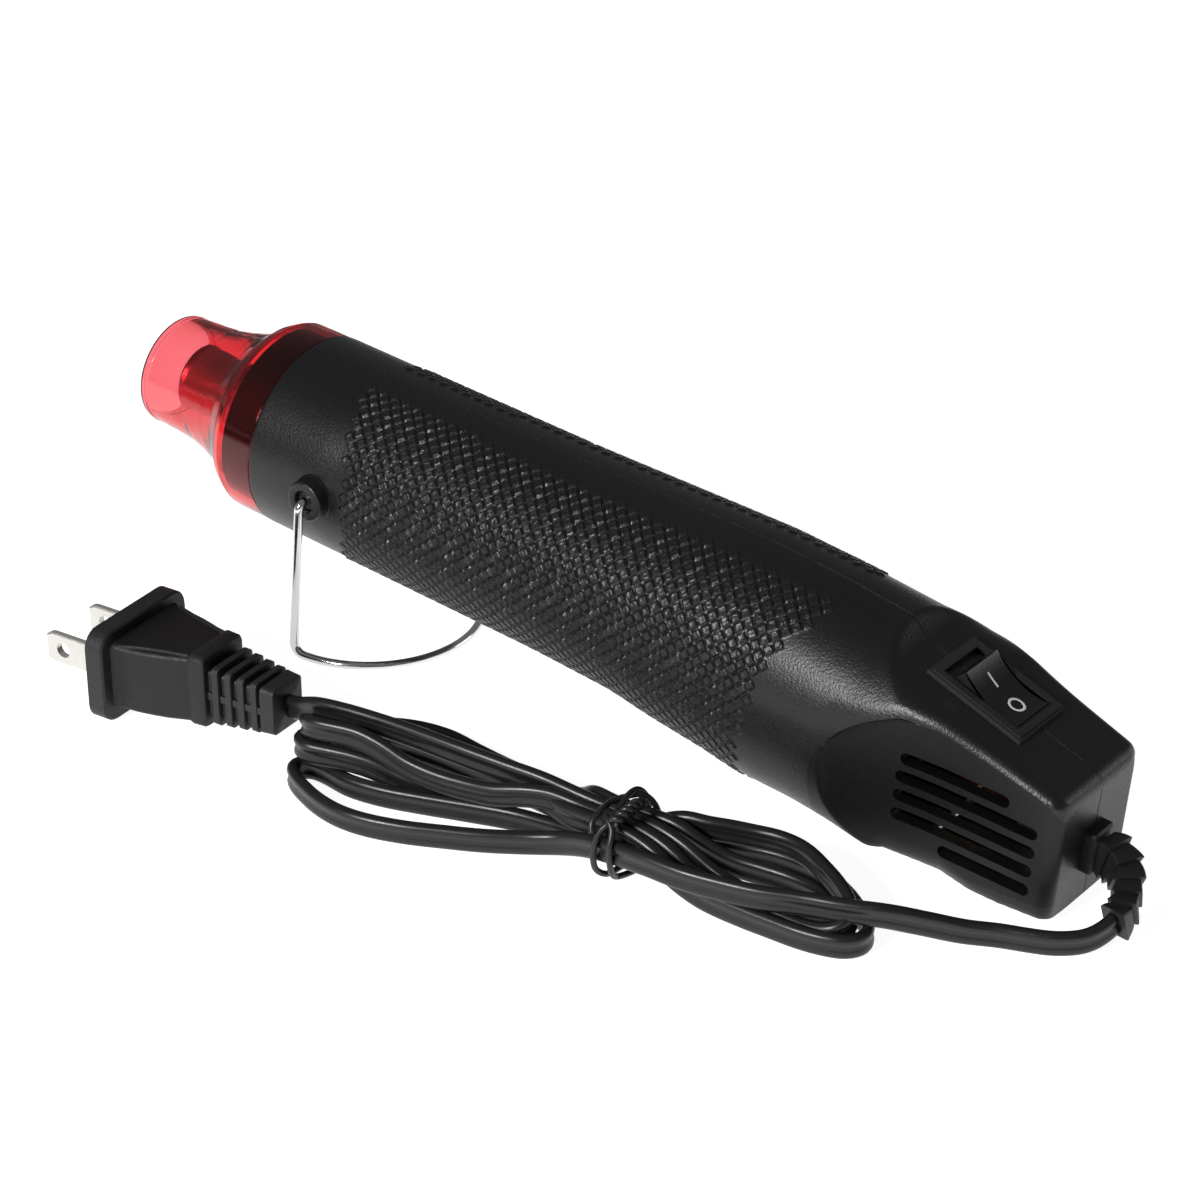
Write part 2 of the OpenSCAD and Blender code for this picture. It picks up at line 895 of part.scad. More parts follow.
// The hank spirals in on the bench layer, climbs along the inmost run and spirals out on top
half_turns = loops / 2;
function hank_at(t) =
  let (
    a = hank_start - 360 * t,
    k = abs(half_turns - t),
    waist = pow(abs(sin(a)), 6),
    c = min(1, max(0, (t - half_turns + 0.16) / 0.28)),
    x = (loop_a + step_a * k) * cos(a),
    y = sin(a) * ((loop_e + step_e * k) * (1 - waist) + (loop_v + step_v * k) * waist),
    z = cord_w / 2 + 0.05 + (cord_w + layer_gap) * c * c * (3 - 2 * c) + waist_lift * waist
  )
  [hank_x + x * cos(hank_turn) - y * sin(hank_turn), hank_y + x * sin(hank_turn) + y * cos(hank_turn), z];
loop_points = [for (i = [0:loops * loop_rings]) hank_at(i / loop_rings)];
hank_in = loop_points[0] - unit(loop_points[1] - loop_points[0]) * cord_w;
hank_out = loop_points[len(loop_points) - 1]
  + unit(loop_points[len(loop_points) - 1] - loop_points[len(loop_points) - 2]) * cord_w;
hank_points = concat([hank_in], loop_points, [hank_out]);

// Least gap of the hank to itself: each point to each far run, sideways or up and down
function run_gap_at(p, a, b) =
  let (
    ab = [b[0] - a[0], b[1] - a[1]],
    ap = [p[0] - a[0], p[1] - a[1]],
    u = min(1, max(0, (ap * ab) / (ab * ab))),
    q = a + (b - a) * u
  )
  max(norm([p[0] - q[0], p[1] - q[1]]) - cord_t, abs(p[2] - q[2]) - cord_w);
hank_gap = min([
  for (i = [0:len(loop_points) - 1], j = [0:len(loop_points) - 2])
    if (abs(i - j) > 8) run_gap_at(loop_points[i], loop_points[j], loop_points[j + 1])
]);
echo(hank_least_gap = hank_gap);

function path_length(p) = len(p) < 2 ? 0
  : sum([for (i = [1:len(p) - 1]) norm(p[i] - p[i - 1])]);
function sum(v) = v * [for (x = v) 1];

relief_tip = relief_route[len(relief_route) - 1];
relief_dir = unit([-0.1, -1, -0.3]);
relief_end = relief_tip + relief_dir * 2;
tool_points = concat(
  [relief_end, relief_end + relief_dir * cord_w], tool_route,
  [2 * hank_in - loop_points[0], hank_in]
);
plug_dir = [cos(plug_turn), sin(plug_turn), 0];
plug_exit = [plug_x, plug_y, plug_z] + plug_dir * boot_end;
plug_points = concat(
  [hank_out, 2 * hank_out - loop_points[len(loop_points) - 1]], plug_route,
  [plug_exit + plug_dir * cord_w, plug_exit]
);
echo(cord_length = path_length(tool_points) + path_length(hank_points) + path_length(plug_points));

// Wires inside: the cord's cores to the switch and board, then to the motor and heater
function in_switch(x, y, z) = [
  facet_x + x * cos(facet_slope) + z * sin(facet_slope), y,
  facet_z - x * sin(facet_slope) + z * cos(facet_slope)
];
cores = [
  [[clamp_x + 5.4, -1.2, relief_z], [clamp_x, -1.2, relief_z + 0.3],
    in_switch(12, -1.2, -17.6), in_switch(7.1, -0.6, -17.2)],
  [[clamp_x + 5.4, 1.2, relief_z], [clamp_x, 1.2, relief_z + 0.3], [clamp_x - 8, 2.4, relief_z - 0.8],
    [board_end + 8, 4.6, board_z - 0.4], [board_end + 0.6, 5, board_z]],
  [in_switch(-0.7, -0.4, -17), in_switch(-4, -1, -18), [board_end + 5, -3.5, board_z + 0.8],
    [board_end + 0.6, -5, board_z]]
];
leads = [
  for (s = [-1, 1]) each [
    [[board_x - 0.6, s * 8, board_z], [board_x - 2.8, s * 9, board_z + 2.2],
      [board_x - 3.6, s * 8.6, -4], [board_x - 4, s * 6.9, -1]],
    [[board_x - 0.6, s * 10.5, board_z], [board_x - 4, s * 12, -9.4], [mount_x + 8, s * 14.8, -5],
      [mount_x + 4, s * lead_y, -1], [mount_x - 2, s * lead_y, -1],
      [fan_x + fan_w + 1.5, s * 17.3, -1], [fan_x - 3, s * 17.3, -1], [barrel_end + 4.5, s * 13, -1],
      [barrel_end, s * 9.4, -1], [barrel_end - 3.8, s * 8, -1]]
  ]
];
module inner_leads() {
  color("firebrick")
    in_tool() {
      for (p = cores)
        swept(p, flat_section(core_d, core_d, 6));
      for (p = leads)
        swept(p, flat_section(lead_d, lead_d, 6));
    }
}

// Strain relief: a flange on the tail and ribs that bend down to the bench
module strain_relief() {
  core = concat([relief_root], relief_route, [relief_end]);
  color("black") {
    in_tool() {
      translate([relief_x, -relief_w / 2, relief_z - relief_h / 2])
        cube([relief_flange, relief_w, relief_h]);
      translate([relief_x - wall - 1.5, -2.7, relief_z - relief_h / 2 + 1.5])
        cube([wall + 1.5, 5.4, relief_h - 3]);
      translate([relief_x - wall - 1.5, -3.8, relief_z - relief_h / 2])
        cube([1.4, 7.6, relief_h]);
    }
    swept(core, flat_section(6.4, 4.4, 8));
    for (i = [1:len(core) - 2]) {
      t = tangent(core, i);
      s = 1 - 0.06 * i;
      translate(core[i])
        rotate([0, acos(t[2]), atan2(t[1], t[0])])
          translate([-relief_h * s / 2, -relief_w * s / 2, -0.75])
            cube([relief_h * s, relief_w * s, 1.5]);
    }
  }
}

module cord_tool_lead() {
  color("black")
    swept(tool_points, flat_section(cord_w, cord_t, 8));
}

module cord_hank() {
  color("black")
    swept(hank_points, flat_section(cord_w, cord_t, 6));
}

module cord_plug_lead() {
  color("black")
    swept(plug_points, flat_section(cord_w, cord_t, 8));
}

// Two turns of coated wire round the hank's waist, and their twisted ends on top
module cord_tie() {
  half_w = loop_v + step_v * half_turns + cord_t / 2 + 0.8;
  tie_h = 3 * cord_w + layer_gap + waist_lift + 1;
  r = 3;
  color("dimgray")
    translate([hank_x, hank_y, 0])
      rotate([0, 0, hank_turn]) {
        for (x = [-2.4, 2.4])
          translate([x - tie_d / 2, 0, 0])
            rotate([90, 0, 90])
              linear_extrude(tie_d)
                difference() {
                  rounded(half_w + tie_d, 0, tie_h + tie_d, r);
                  rounded(half_w, tie_d, tie_h, r - tie_d);
                }
        translate([-3.05, -0.7, tie_h + tie_d - 0.2])
          cube([6.1, 1.4, tie_d]);
        translate([0, 0, tie_h + tie_d])
          rotate([38, 0, 30])
            cylinder(h = 7, r = tie_d * 0.8);
      }
}

module rounded(half_w, z0, z1, r) {
  translate([-half_w + r, z0])
    square([2 * (half_w - r), z1 - z0]);
  translate([-half_w, z0 + r])
    square([2 * half_w, z1 - z0 - 2 * r]);
  for (y = [-half_w + r, half_w - r])
    for (z = [z0 + r, z1 - r])
      translate([y, z])
        circle(r = r);
}

module in_plug() {
  translate([plug_x, plug_y, plug_z])
    rotate([0, 0, plug_turn])
      children();
}

// Plug: flange, tapered body with a shoulder, and a ribbed boot
module plug_body() {
  x1 = blade_l + flange_t;
  color("black")
    in_plug()
      difference() {
        union() {
          translate([blade_l, 0, 0])
            rotate([90, 0, 90])
              linear_extrude(flange_t)
                rounded(flange_w / 2, -plug_z, flange_h - plug_z, 3.4);
          translate([0, 0, -6.6])
            linear_extrude(13.6)
              polygon(mirrored([[x1 - 1, 9.4], [x1 + 5, 9], [x1 + 15, 6.2], [x1 + 19, 5.8]]));
          translate([x1 + 15, -6, -6.8])
            cube([3.6, 12, 14.8]);
          translate([x1 + 18, -3.2, -4.2])
            cube([boot_end - x1 - 18, 6.4, 8]);
          for (i = [0:3])
            translate([x1 + 20.2 + 2.9 * i, -5.2 + 0.15 * i, -5.8 + 0.35 * i])
              cube([1.6, 10.4 - 0.3 * i, 12 - 0.9 * i]);
          translate([boot_end - 3.4, -4.4, -4])
            cube([3.4, 8.8, 7.4]);
        }
        for (s = [-1, 1])
          translate([blade_l - 1, s * blade_gap / 2 - blade_t / 2 - seat_gap, -blade_w / 2 - seat_gap])
            cube([9 + seat_gap, blade_t + 2 * seat_gap, blade_w + 2 * seat_gap]);
      }
}

module plug_blades() {
  color("silver")
    in_plug()
      for (s = [-1, 1])
        difference() {
          translate([0, s * blade_gap / 2 - blade_t / 2, -blade_w / 2])
            cube([blade_l + 8, blade_t, blade_w]);
          translate([blade_l - 11.9, s * blade_gap / 2, 0])
            rotate([90, 0, 0])
              cylinder(h = 4, r = 1.6, center = true);
        }
}

left_shell();
right_shell();
nozzle_guard();
nozzle_tube();
nozzle_plate();
duct_ring();
mica_sleeve();
mica_cross();
heating_coil();
thermal_fuse();
motor_can();
motor_magnets();
motor_cap();
motor_bushes();
motor_mount();
motor_rotor();
motor_brushes();
motor_shaft();
fan_impeller();
circuit_board();
rectifier_diodes();
filter_capacitor();
switch_housing();
switch_rocker();
rocker_plunger();
contact_plate();
switch_terminals();
cord_clamp();
clamp_screws();
housing_screws();
wire_stand();
strain_relief();
cord_tool_lead();
cord_hank();
cord_plug_lead();
cord_tie();
plug_body();
plug_blades();
inner_leads();
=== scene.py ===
"""Embossing heat tool, nose up on its wire stand, with its flat cord tied beside it.

Shapes are drawn in millimetres: in the tool's own frame, with X along the barrel from
the housing's front edge, or on the bench. tool() and bench() turn them into the row
frame in metres, where the CAD model stands.
"""

import json
import math

import bpy
import numpy as np
from mathutils import Matrix, Vector


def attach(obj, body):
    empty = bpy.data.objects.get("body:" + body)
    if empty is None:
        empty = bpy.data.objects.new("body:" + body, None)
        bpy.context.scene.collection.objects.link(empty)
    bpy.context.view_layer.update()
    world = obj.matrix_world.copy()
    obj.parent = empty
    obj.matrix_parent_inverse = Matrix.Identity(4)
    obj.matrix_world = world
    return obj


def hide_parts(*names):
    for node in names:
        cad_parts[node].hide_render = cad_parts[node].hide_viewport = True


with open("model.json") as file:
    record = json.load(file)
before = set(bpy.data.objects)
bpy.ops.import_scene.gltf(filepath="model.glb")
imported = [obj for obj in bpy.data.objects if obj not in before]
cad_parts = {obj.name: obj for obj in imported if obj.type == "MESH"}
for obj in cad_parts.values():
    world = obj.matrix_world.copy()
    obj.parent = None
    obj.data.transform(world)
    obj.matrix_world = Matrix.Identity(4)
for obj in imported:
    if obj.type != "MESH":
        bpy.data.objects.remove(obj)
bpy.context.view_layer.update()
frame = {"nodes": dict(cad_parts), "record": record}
nodes = frame["nodes"]

# Resting place, as in part.scad
TILT = math.radians(5)
AXIS_H = 37.9
MID_X = 72.277

# Housing
BODY_LEN = 184.0
TAIL_ROUND = 2.4
KNURL_PITCH = 2.05
KNURL_H = 0.38
SLOT_H = 2.5
SLOTS = [(0.2, 151.5, 173.5), (-3.7, 151.0, 179.8), (-7.7, 151.0, 179.8),
         (-11.7, 151.0, 179.8), (-15.7, 161.0, 179.8)]
SCREWS = [(61.5, -15.0), (61.5, 15.0), (103.5, -17.0), (155.0, -19.0)]
PIVOT_X = 17.0
BOSS_R = 4.1
BOSS_Y = 22.8

# Switch, in its own frame on the facet
SWITCH_AT = (160.35, 11.2)
SWITCH_SLOPE = math.radians(16.3)
RIM_L, RIM_W, RIM_T = 21.0, 15.0, 1.3
OPEN_L, OPEN_W = 16.8, 11.0
ROCK = math.radians(13)
ROCK_DROP = -0.6

# Wire stand
WIRE_R = 0.9
PIVOT_BENCH = (-55.342, 36.418)
FOOT_X, FOOT_Y, FOOT_ARC = -60.442, 22.0, -58.542
LEG_Y = 24.05

# Cord and plug
CORD_W, CORD_R = 4.8, 1.2
PLUG_AT = (-89.684, -54.4, 10.1)
PLUG_TURN = math.radians(5)


def pitched(points, angle, x0, z0):
    """Points tipped about Y by the angle, then moved to x0, z0."""
    p = np.asarray(points, float).reshape(-1, 3)
    c, s = math.cos(angle), math.sin(angle)
    return np.column_stack([
        x0 + p[:, 0] * c + p[:, 2] * s, p[:, 1], z0 - p[:, 0] * s + p[:, 2] * c
    ])


def tool(points):
    """Tool frame in mm to the row frame in metres."""
    return pitched(points, TILT, -MID_X, AXIS_H) / 1000


def bench(points):
    """Bench frame in mm to the row frame in metres."""
    return np.asarray(points, float).reshape(-1, 3) / 1000


def switch(points):
    """Switch frame in mm to the row frame in metres."""
    return tool(pitched(points, SWITCH_SLOPE, *SWITCH_AT))


def plug_place(points):
    """Plug frame in mm, X from the blades' tips, to the row frame in metres."""
    p = np.asarray(points, float).reshape(-1, 3)
    c, s = math.cos(PLUG_TURN), math.sin(PLUG_TURN)
    return bench(np.column_stack([
        PLUG_AT[0] + p[:, 0] * c - p[:, 1] * s, PLUG_AT[1] + p[:, 0] * s + p[:, 1] * c,
        PLUG_AT[2] + p[:, 2]
    ]))


# Mesh making

HALVINGS = 34


def unit(v):
    return v / np.linalg.norm(v, axis=-1, keepdims=True)


def hermite(t, a, b, slope_a, slope_b):
    """The cubic from a to b with these slopes at its ends."""
    return ((2 * t**3 - 3 * t**2 + 1) * a + (t**3 - 2 * t**2 + t) * slope_a
            + (3 * t**2 - 2 * t**3) * b + (t**3 - t**2) * slope_b)


def smooth_table(x, pairs):
    """A monotone cubic through the points."""
    xs, ys = np.array(pairs, float).T
    h = np.diff(xs)
    d = np.diff(ys) / h
    m = np.zeros_like(ys)
    inner = d[:-1] * d[1:] > 0
    w1, w2 = 2 * h[1:] + h[:-1], h[1:] + 2 * h[:-1]
    with np.errstate(divide="ignore", invalid="ignore"):
        m[1:-1] = np.where(inner, (w1 + w2) / (w1 / d[:-1] + w2 / d[1:]), 0)
    m[0], m[-1] = d[0], d[-1]
    x = np.clip(x, xs[0], xs[-1])
    i = np.clip(np.searchsorted(xs, x, side="right") - 1, 0, len(h) - 1)
    return hermite((x - xs[i]) / h[i], ys[i], ys[i + 1], h[i] * m[i], h[i] * m[i + 1])


def bisect(beyond, near, far):
    """The distance between near and far at which beyond turns true, for each place."""
    for _ in range(HALVINGS):
        middle = (near + far) / 2
        out = beyond(middle)
        near, far = np.where(out, near, middle), np.where(out, middle, far)
    return (near + far) / 2


def grid_faces(rows, cols, wrap=False, offset=0):
    """Quads of a grid of points laid out row by row; wrap joins the last column to the first."""
    i = np.arange(rows - 1)[:, None] * cols
    j = np.arange(cols if wrap else cols - 1)[None, :]
    k = (j + 1) % cols
    return (np.stack([i + j, i + k, i + cols + k, i + cols + j], -1).reshape(-1, 4)) + offset


def link_object(name, data):
    obj = bpy.data.objects.new(name, data)
    bpy.context.scene.collection.objects.link(obj)
    return obj


def signed_volume(p, faces):
    """Positive where the faces look outwards."""
    volume, mid = 0.0, p.mean(axis=0)
    for f in faces:
        for k in range(1, f.shape[1] - 1):
            a, b, c = p[f[:, 0]] - mid, p[f[:, k]] - mid, p[f[:, k + 1]] - mid
            volume += np.einsum("ij,ij->i", a, np.cross(b, c)).sum()
    return volume


def build(name, shape, place, body, slot, replaces=(), angle=180, materials=None, parts=None):
    """A piece from a shape, put in the row frame by place, with its slot's look unless
    materials are given. Edges sharper than the angle stay sharp; parts gives each face's
    material where there are several."""
    p = place(shape.all_points())
    # nothing dips into the bench
    p[:, 2] = np.maximum(p[:, 2], 0.0)
    faces = shape.faces()
    loops = np.concatenate([f.ravel() for f in faces])
    sizes = np.concatenate([np.full(len(f), f.shape[1]) for f in faces])
    starts = np.cumsum(sizes) - sizes
    if signed_volume(p, faces) < 0:
        loops = np.concatenate([f[:, ::-1].ravel() for f in faces])
    mesh = bpy.data.meshes.new(name)
    mesh.vertices.add(len(p))
    mesh.vertices.foreach_set("co", p.astype(np.float32).ravel())
    mesh.loops.add(len(loops))
    mesh.loops.foreach_set("vertex_index", loops.astype(np.int32))
    mesh.polygons.add(len(starts))
    mesh.polygons.foreach_set("loop_start", starts.astype(np.int32))
    mesh.update(calc_edges=True)
    mesh.validate()
    for material in materials or [looks[slot]]:
        mesh.materials.append(material)
    if parts is not None:
        mesh.polygons.foreach_set("material_index", np.asarray(parts, np.int32))
    mesh.polygons.foreach_set("use_smooth", np.ones(len(starts), bool))
    if angle < 180:
        mesh.set_sharp_from_angle(angle=math.radians(angle))
    obj = link_object(name, mesh)
    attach(obj, body)
    if replaces:
        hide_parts(*replaces)
    return obj


class Shape:
    """Points and faces of several parts, gathered into one piece."""

    def __init__(self):
        self.points, self.quads, self.tris, self.at = [], [], [], 0

    def add(self, points, quads=(), tris=()):
        self.points.append(np.asarray(points, float))
        if len(quads):
            self.quads.append(np.asarray(quads) + self.at)
        if len(tris):
            self.tris.append(np.asarray(tris) + self.at)
        self.at += len(points)

    def grid(self, rows, wrap=False, cap=False):
        """rows is (n, m, 3). cap closes both ends of a wrapped grid with fans."""
        rows = np.asarray(rows, float)
        n, m = rows.shape[:2]
        points = rows.reshape(-1, 3)
        quads = grid_faces(n, m, wrap)
        tris = []
        if cap:
            points = np.vstack([points, rows[0].mean(axis=0), rows[-1].mean(axis=0)])
            j = np.arange(m)
            k = (j + 1) % m
            tris = np.vstack([
                np.column_stack([k, j, np.full(m, n * m)]),
                np.column_stack([(n - 1) * m + j, (n - 1) * m + k, np.full(m, n * m + 1)])
            ])
        self.add(points, quads, tris)

    def solid(self, rows):
        """A wrapped grid closed at both ends."""
        self.grid(rows, wrap=True, cap=True)

    def faces(self):
        return [np.vstack(f) for f in (self.quads, self.tris) if f]

    def all_points(self):
        return np.vstack(self.points)


def path_frames(path):
    """Tangents, sideways and upward directions along a path, kept as upright as it allows."""
    t = unit(np.gradient(np.asarray(path, float), axis=0))
    up = np.array([0.0, 0.0, 1.0])
    w = unit(up - (t @ up)[:, None] * t)
    return t, np.cross(t, w), w


def turning_frames(path):
    """Tangents and two directions that turn with the path as little as they can."""
    t = unit(np.gradient(np.asarray(path, float), axis=0))
    n = np.zeros_like(t)
    n[0] = unit(np.cross(t[0], [0.3, 0.5, 0.81]))
    for i in range(1, len(t)):
        n[i] = unit(n[i - 1] - t[i] * (n[i - 1] @ t[i]))
    return t, n, np.cross(t, n)


def sweep(path, section, upright=False):
    """Rows of a section's points, sideways and up, along a path."""
    _, s, w = path_frames(path) if upright else turning_frames(path)
    section = np.asarray(section, float)
    if section.ndim == 2:
        section = np.repeat(section[None], len(path), axis=0)
    return (np.asarray(path, float)[:, None] + s[:, None] * section[:, :, :1]
            + w[:, None] * section[:, :, 1:])


def round_section(radius, n=20):
    a = np.arange(n) * 2 * math.pi / n
    return np.column_stack([np.cos(a), np.sin(a)]) * radius


def spline(points, step):
    """A smooth curve through points, resampled evenly at about the step."""
    p = np.asarray(points, float)
    p = np.vstack([2 * p[0] - p[1], p, 2 * p[-1] - p[-2]])
    out = []
    for i in range(1, len(p) - 2):
        a, b, c, d = p[i - 1:i + 3]
        k = [max(np.linalg.norm(v), 1e-6) ** 0.5 for v in (b - a, c - b, d - c)]
        m1 = (b - a) / k[0] - (c - a) / (k[0] + k[1]) + (c - b) / k[1]
        m2 = (c - b) / k[1] - (d - b) / (k[1] + k[2]) + (d - c) / k[2]
        u = np.linspace(0, 1, 24, endpoint=False)[:, None]
        out.append(hermite(u, b, c, m1 * k[1], m2 * k[1]))
    line = np.vstack(out + [p[-2][None]])
    for _ in range(2):
        line = even(line, step)
        soft = line.copy()
        soft[1:-1] = (line[:-2] + 2 * line[1:-1] + line[2:]) / 4
        line = soft
    return even(line, step)


def even(line, step):
    """The same line with evenly spaced points."""
    s = np.concatenate([[0], np.cumsum(np.linalg.norm(np.diff(line, axis=0), axis=1))])
    at = np.linspace(0, s[-1], max(2, int(round(s[-1] / step)) + 1))
    return np.column_stack([np.interp(at, s, line[:, k]) for k in range(3)])


def filleted(corners, radii, n=10):
    """A line through corners, each rounded by its radius."""
    out = [np.asarray(corners[0], float)]
    for a, b, c, r in zip(corners, corners[1:], corners[2:], radii):
        a, b, c = (np.asarray(v, float) for v in (a, b, c))
        u, v = unit(a - b), unit(c - b)
        half = math.acos(max(-1, min(1, u @ v))) / 2
        reach = r / math.tan(half)
        middle = b + unit(u + v) * r / math.sin(half)
        p, q = b + u * reach - middle, b + v * reach - middle
        for k in range(n + 1):
            out.append(middle + unit(p * (1 - k / n) + q * (k / n)) * r)
    out.append(np.asarray(corners[-1], float))
    return np.array(out)


def lathe(profile, n=96):
    """Rows round the X axis from (x, r) pairs."""
    a = np.arange(n) * 2 * math.pi / n
    p = np.asarray(profile, float)
    x = np.repeat(p[:, :1], n, axis=1)
    return np.stack([x, p[:, 1:] * np.cos(a), p[:, 1:] * np.sin(a)], -1)


def rounded_line(profile, radii, n=5):
    """A 2D outline with its corners rounded."""
    p3 = [(a, b, 0.0) for a, b in profile]
    return filleted(p3, radii, n)[:, :2]


def rounded_rect(half_x, half_y, r, n=6):
    """Points of a rounded rectangle, in order round it."""
    out = []
    for cx, cy, a0 in ((1, 1, 0), (-1, 1, 90), (-1, -1, 180), (1, -1, 270)):
        for k in range(n + 1):
            a = math.radians(a0 + 90 * k / n)
            out.append((cx * (half_x - r) + r * math.cos(a), cy * (half_y - r) + r * math.sin(a)))
    return np.array(out)


# Camera: fitted to the photograph

SENSOR, PHOTO_PX, FOCAL_PX = 36.0, 1200, 3474.59
CAMERA_AT = (0.357968, -0.461851, 0.346173)
camera_data = bpy.data.cameras.new("camera")
camera_data.sensor_fit = "HORIZONTAL"
camera_data.sensor_width = SENSOR
camera_data.lens = FOCAL_PX / PHOTO_PX * SENSOR
camera_data.clip_start, camera_data.clip_end = 0.05, 20
camera = link_object("camera", camera_data)
right = Vector((0.78991313, 0.61321717, 0.00139324)).normalized()
back = Vector((0.53630962, -0.69194308, 0.48330814)).normalized()
up = back.cross(right).normalized()
right = up.cross(back).normalized()
camera.matrix_world = Matrix([
    (right[k], up[k], back[k], CAMERA_AT[k]) for k in range(3)
] + [(0, 0, 0, 1)])
bpy.context.scene.camera = camera


# Materials

def feed(tree, node, **settings):
    """Sets a node's properties and sockets; a socket given as a value is linked."""
    for key, value in settings.items():
        socket = key.replace("_", " ")
        if socket not in node.inputs:
            setattr(node, key, value)
        elif isinstance(value, bpy.types.NodeSocket):
            tree.links.new(value, node.inputs[socket])
        else:
            node.inputs[socket].default_value = value
    return node


def add(tree, kind, **settings):
    return feed(tree, tree.nodes.new("ShaderNode" + kind), **settings)


def joined(tree, kind, *sources, **settings):
    """The output of a node whose first inputs are linked to the sources in order."""
    node = add(tree, kind, **settings)
    for source, socket in zip(sources, node.inputs):
        tree.links.new(source, socket)
    return node.outputs[0]


def node_material(name, **values):
    """A material with its shader; values are set on the shader's own sockets."""
    material = bpy.data.materials.new(name)
    material.use_nodes = True
    tree = material.node_tree
    return material, tree, feed(tree, tree.nodes["Principled BSDF"], **values)


def object_place(tree):
    return add(tree, "TexCoord").outputs["Object"]


def noise(tree, place, scale, detail=3.0, rough=0.5):
    return add(tree, "TexNoise", Vector=place, Scale=scale, Detail=detail,
               Roughness=rough).outputs["Fac"]


def ramp(tree, value, low, high, a, b):
    """Maps value from low..high onto a..b."""
    return add(tree, "MapRange", Value=value, From_Min=low, From_Max=high, To_Min=a,
               To_Max=b).outputs["Result"]


def colours(tree, value, stops):
    """Maps value onto colours by (position, colour) stops."""
    node = add(tree, "ValToRGB", Fac=value)
    elements = node.color_ramp.elements
    for k in (0, -1):
        elements[k].position, elements[k].color = stops[k][0], (*stops[k][1], 1)
    for at, colour in stops[1:-1]:
        elements.new(at).color = (*colour, 1)
    return node.outputs["Color"]


def between(tree, fine, rough):
    """Roughness that follows a fine pattern between two values."""
    return ramp(tree, fine, 0.3, 0.7, *rough)


def bump(tree, shader, value, distance, strength=1.0):
    relief_node = add(tree, "Bump", Height=value, Distance=distance, Strength=strength)
    feed(tree, shader, Normal=relief_node.outputs["Normal"])


# painted highlight: the grey that sharp edges are mixed towards, and the pointiness range over
# which it comes in
EDGE_SHEEN_GREY, EDGE_SHEEN_POINTINESS = (0.16, 0.16, 0.165, 1), (0.52, 0.60)
PLASTIC_DRIFT, METAL_DRIFT = 12.0, 40


def textured(name, dark, pale, rough, grain, depth, edge_sheen=0.0, specular=0.5):
    """A finish whose colour drifts slowly, with a fine grain in roughness and relief.
    Sharp edges get paler: a painted highlight, mixed in by pointiness."""
    material, tree, shader = node_material(name, Specular_IOR_Level=specular)
    place = object_place(tree)
    colour = colours(tree, noise(tree, place, PLASTIC_DRIFT, 4), [(0.3, dark), (0.7, pale)])
    if edge_sheen:
        # painted highlight along sharp convex edges, found by pointiness
        edge = add(tree, "NewGeometry").outputs["Pointiness"]
        sheen_share = ramp(tree, edge, *EDGE_SHEEN_POINTINESS, 0.0, edge_sheen)
        colour = add(tree, "Mix", data_type="RGBA", Factor=sheen_share, A=colour,
                     B=EDGE_SHEEN_GREY).outputs["Result"]
    fine = noise(tree, place, grain, 2, 0.6)
    feed(tree, shader, Base_Color=colour, Roughness=between(tree, fine, rough))
    bump(tree, shader, fine, depth)
    return material


def brushed(name, colour, rough, stretch, scale=900.0, depth=0.000004, metal=1.0):
    """Metal with fine lines drawn out along an axis."""
    material, tree, shader = node_material(name, Metallic=metal)
    place = object_place(tree)
    drawn = add(tree, "Mapping", Vector=place, Scale=stretch).outputs["Vector"]
    lines = noise(tree, drawn, scale, 2)
    darker = tuple(c * 0.86 for c in colour)
    drift = colours(tree, noise(tree, place, METAL_DRIFT, 3), [(0.3, darker), (0.7, colour)])
    feed(tree, shader, Base_Color=drift, Roughness=between(tree, lines, rough))
    bump(tree, shader, lines, depth)
    return material
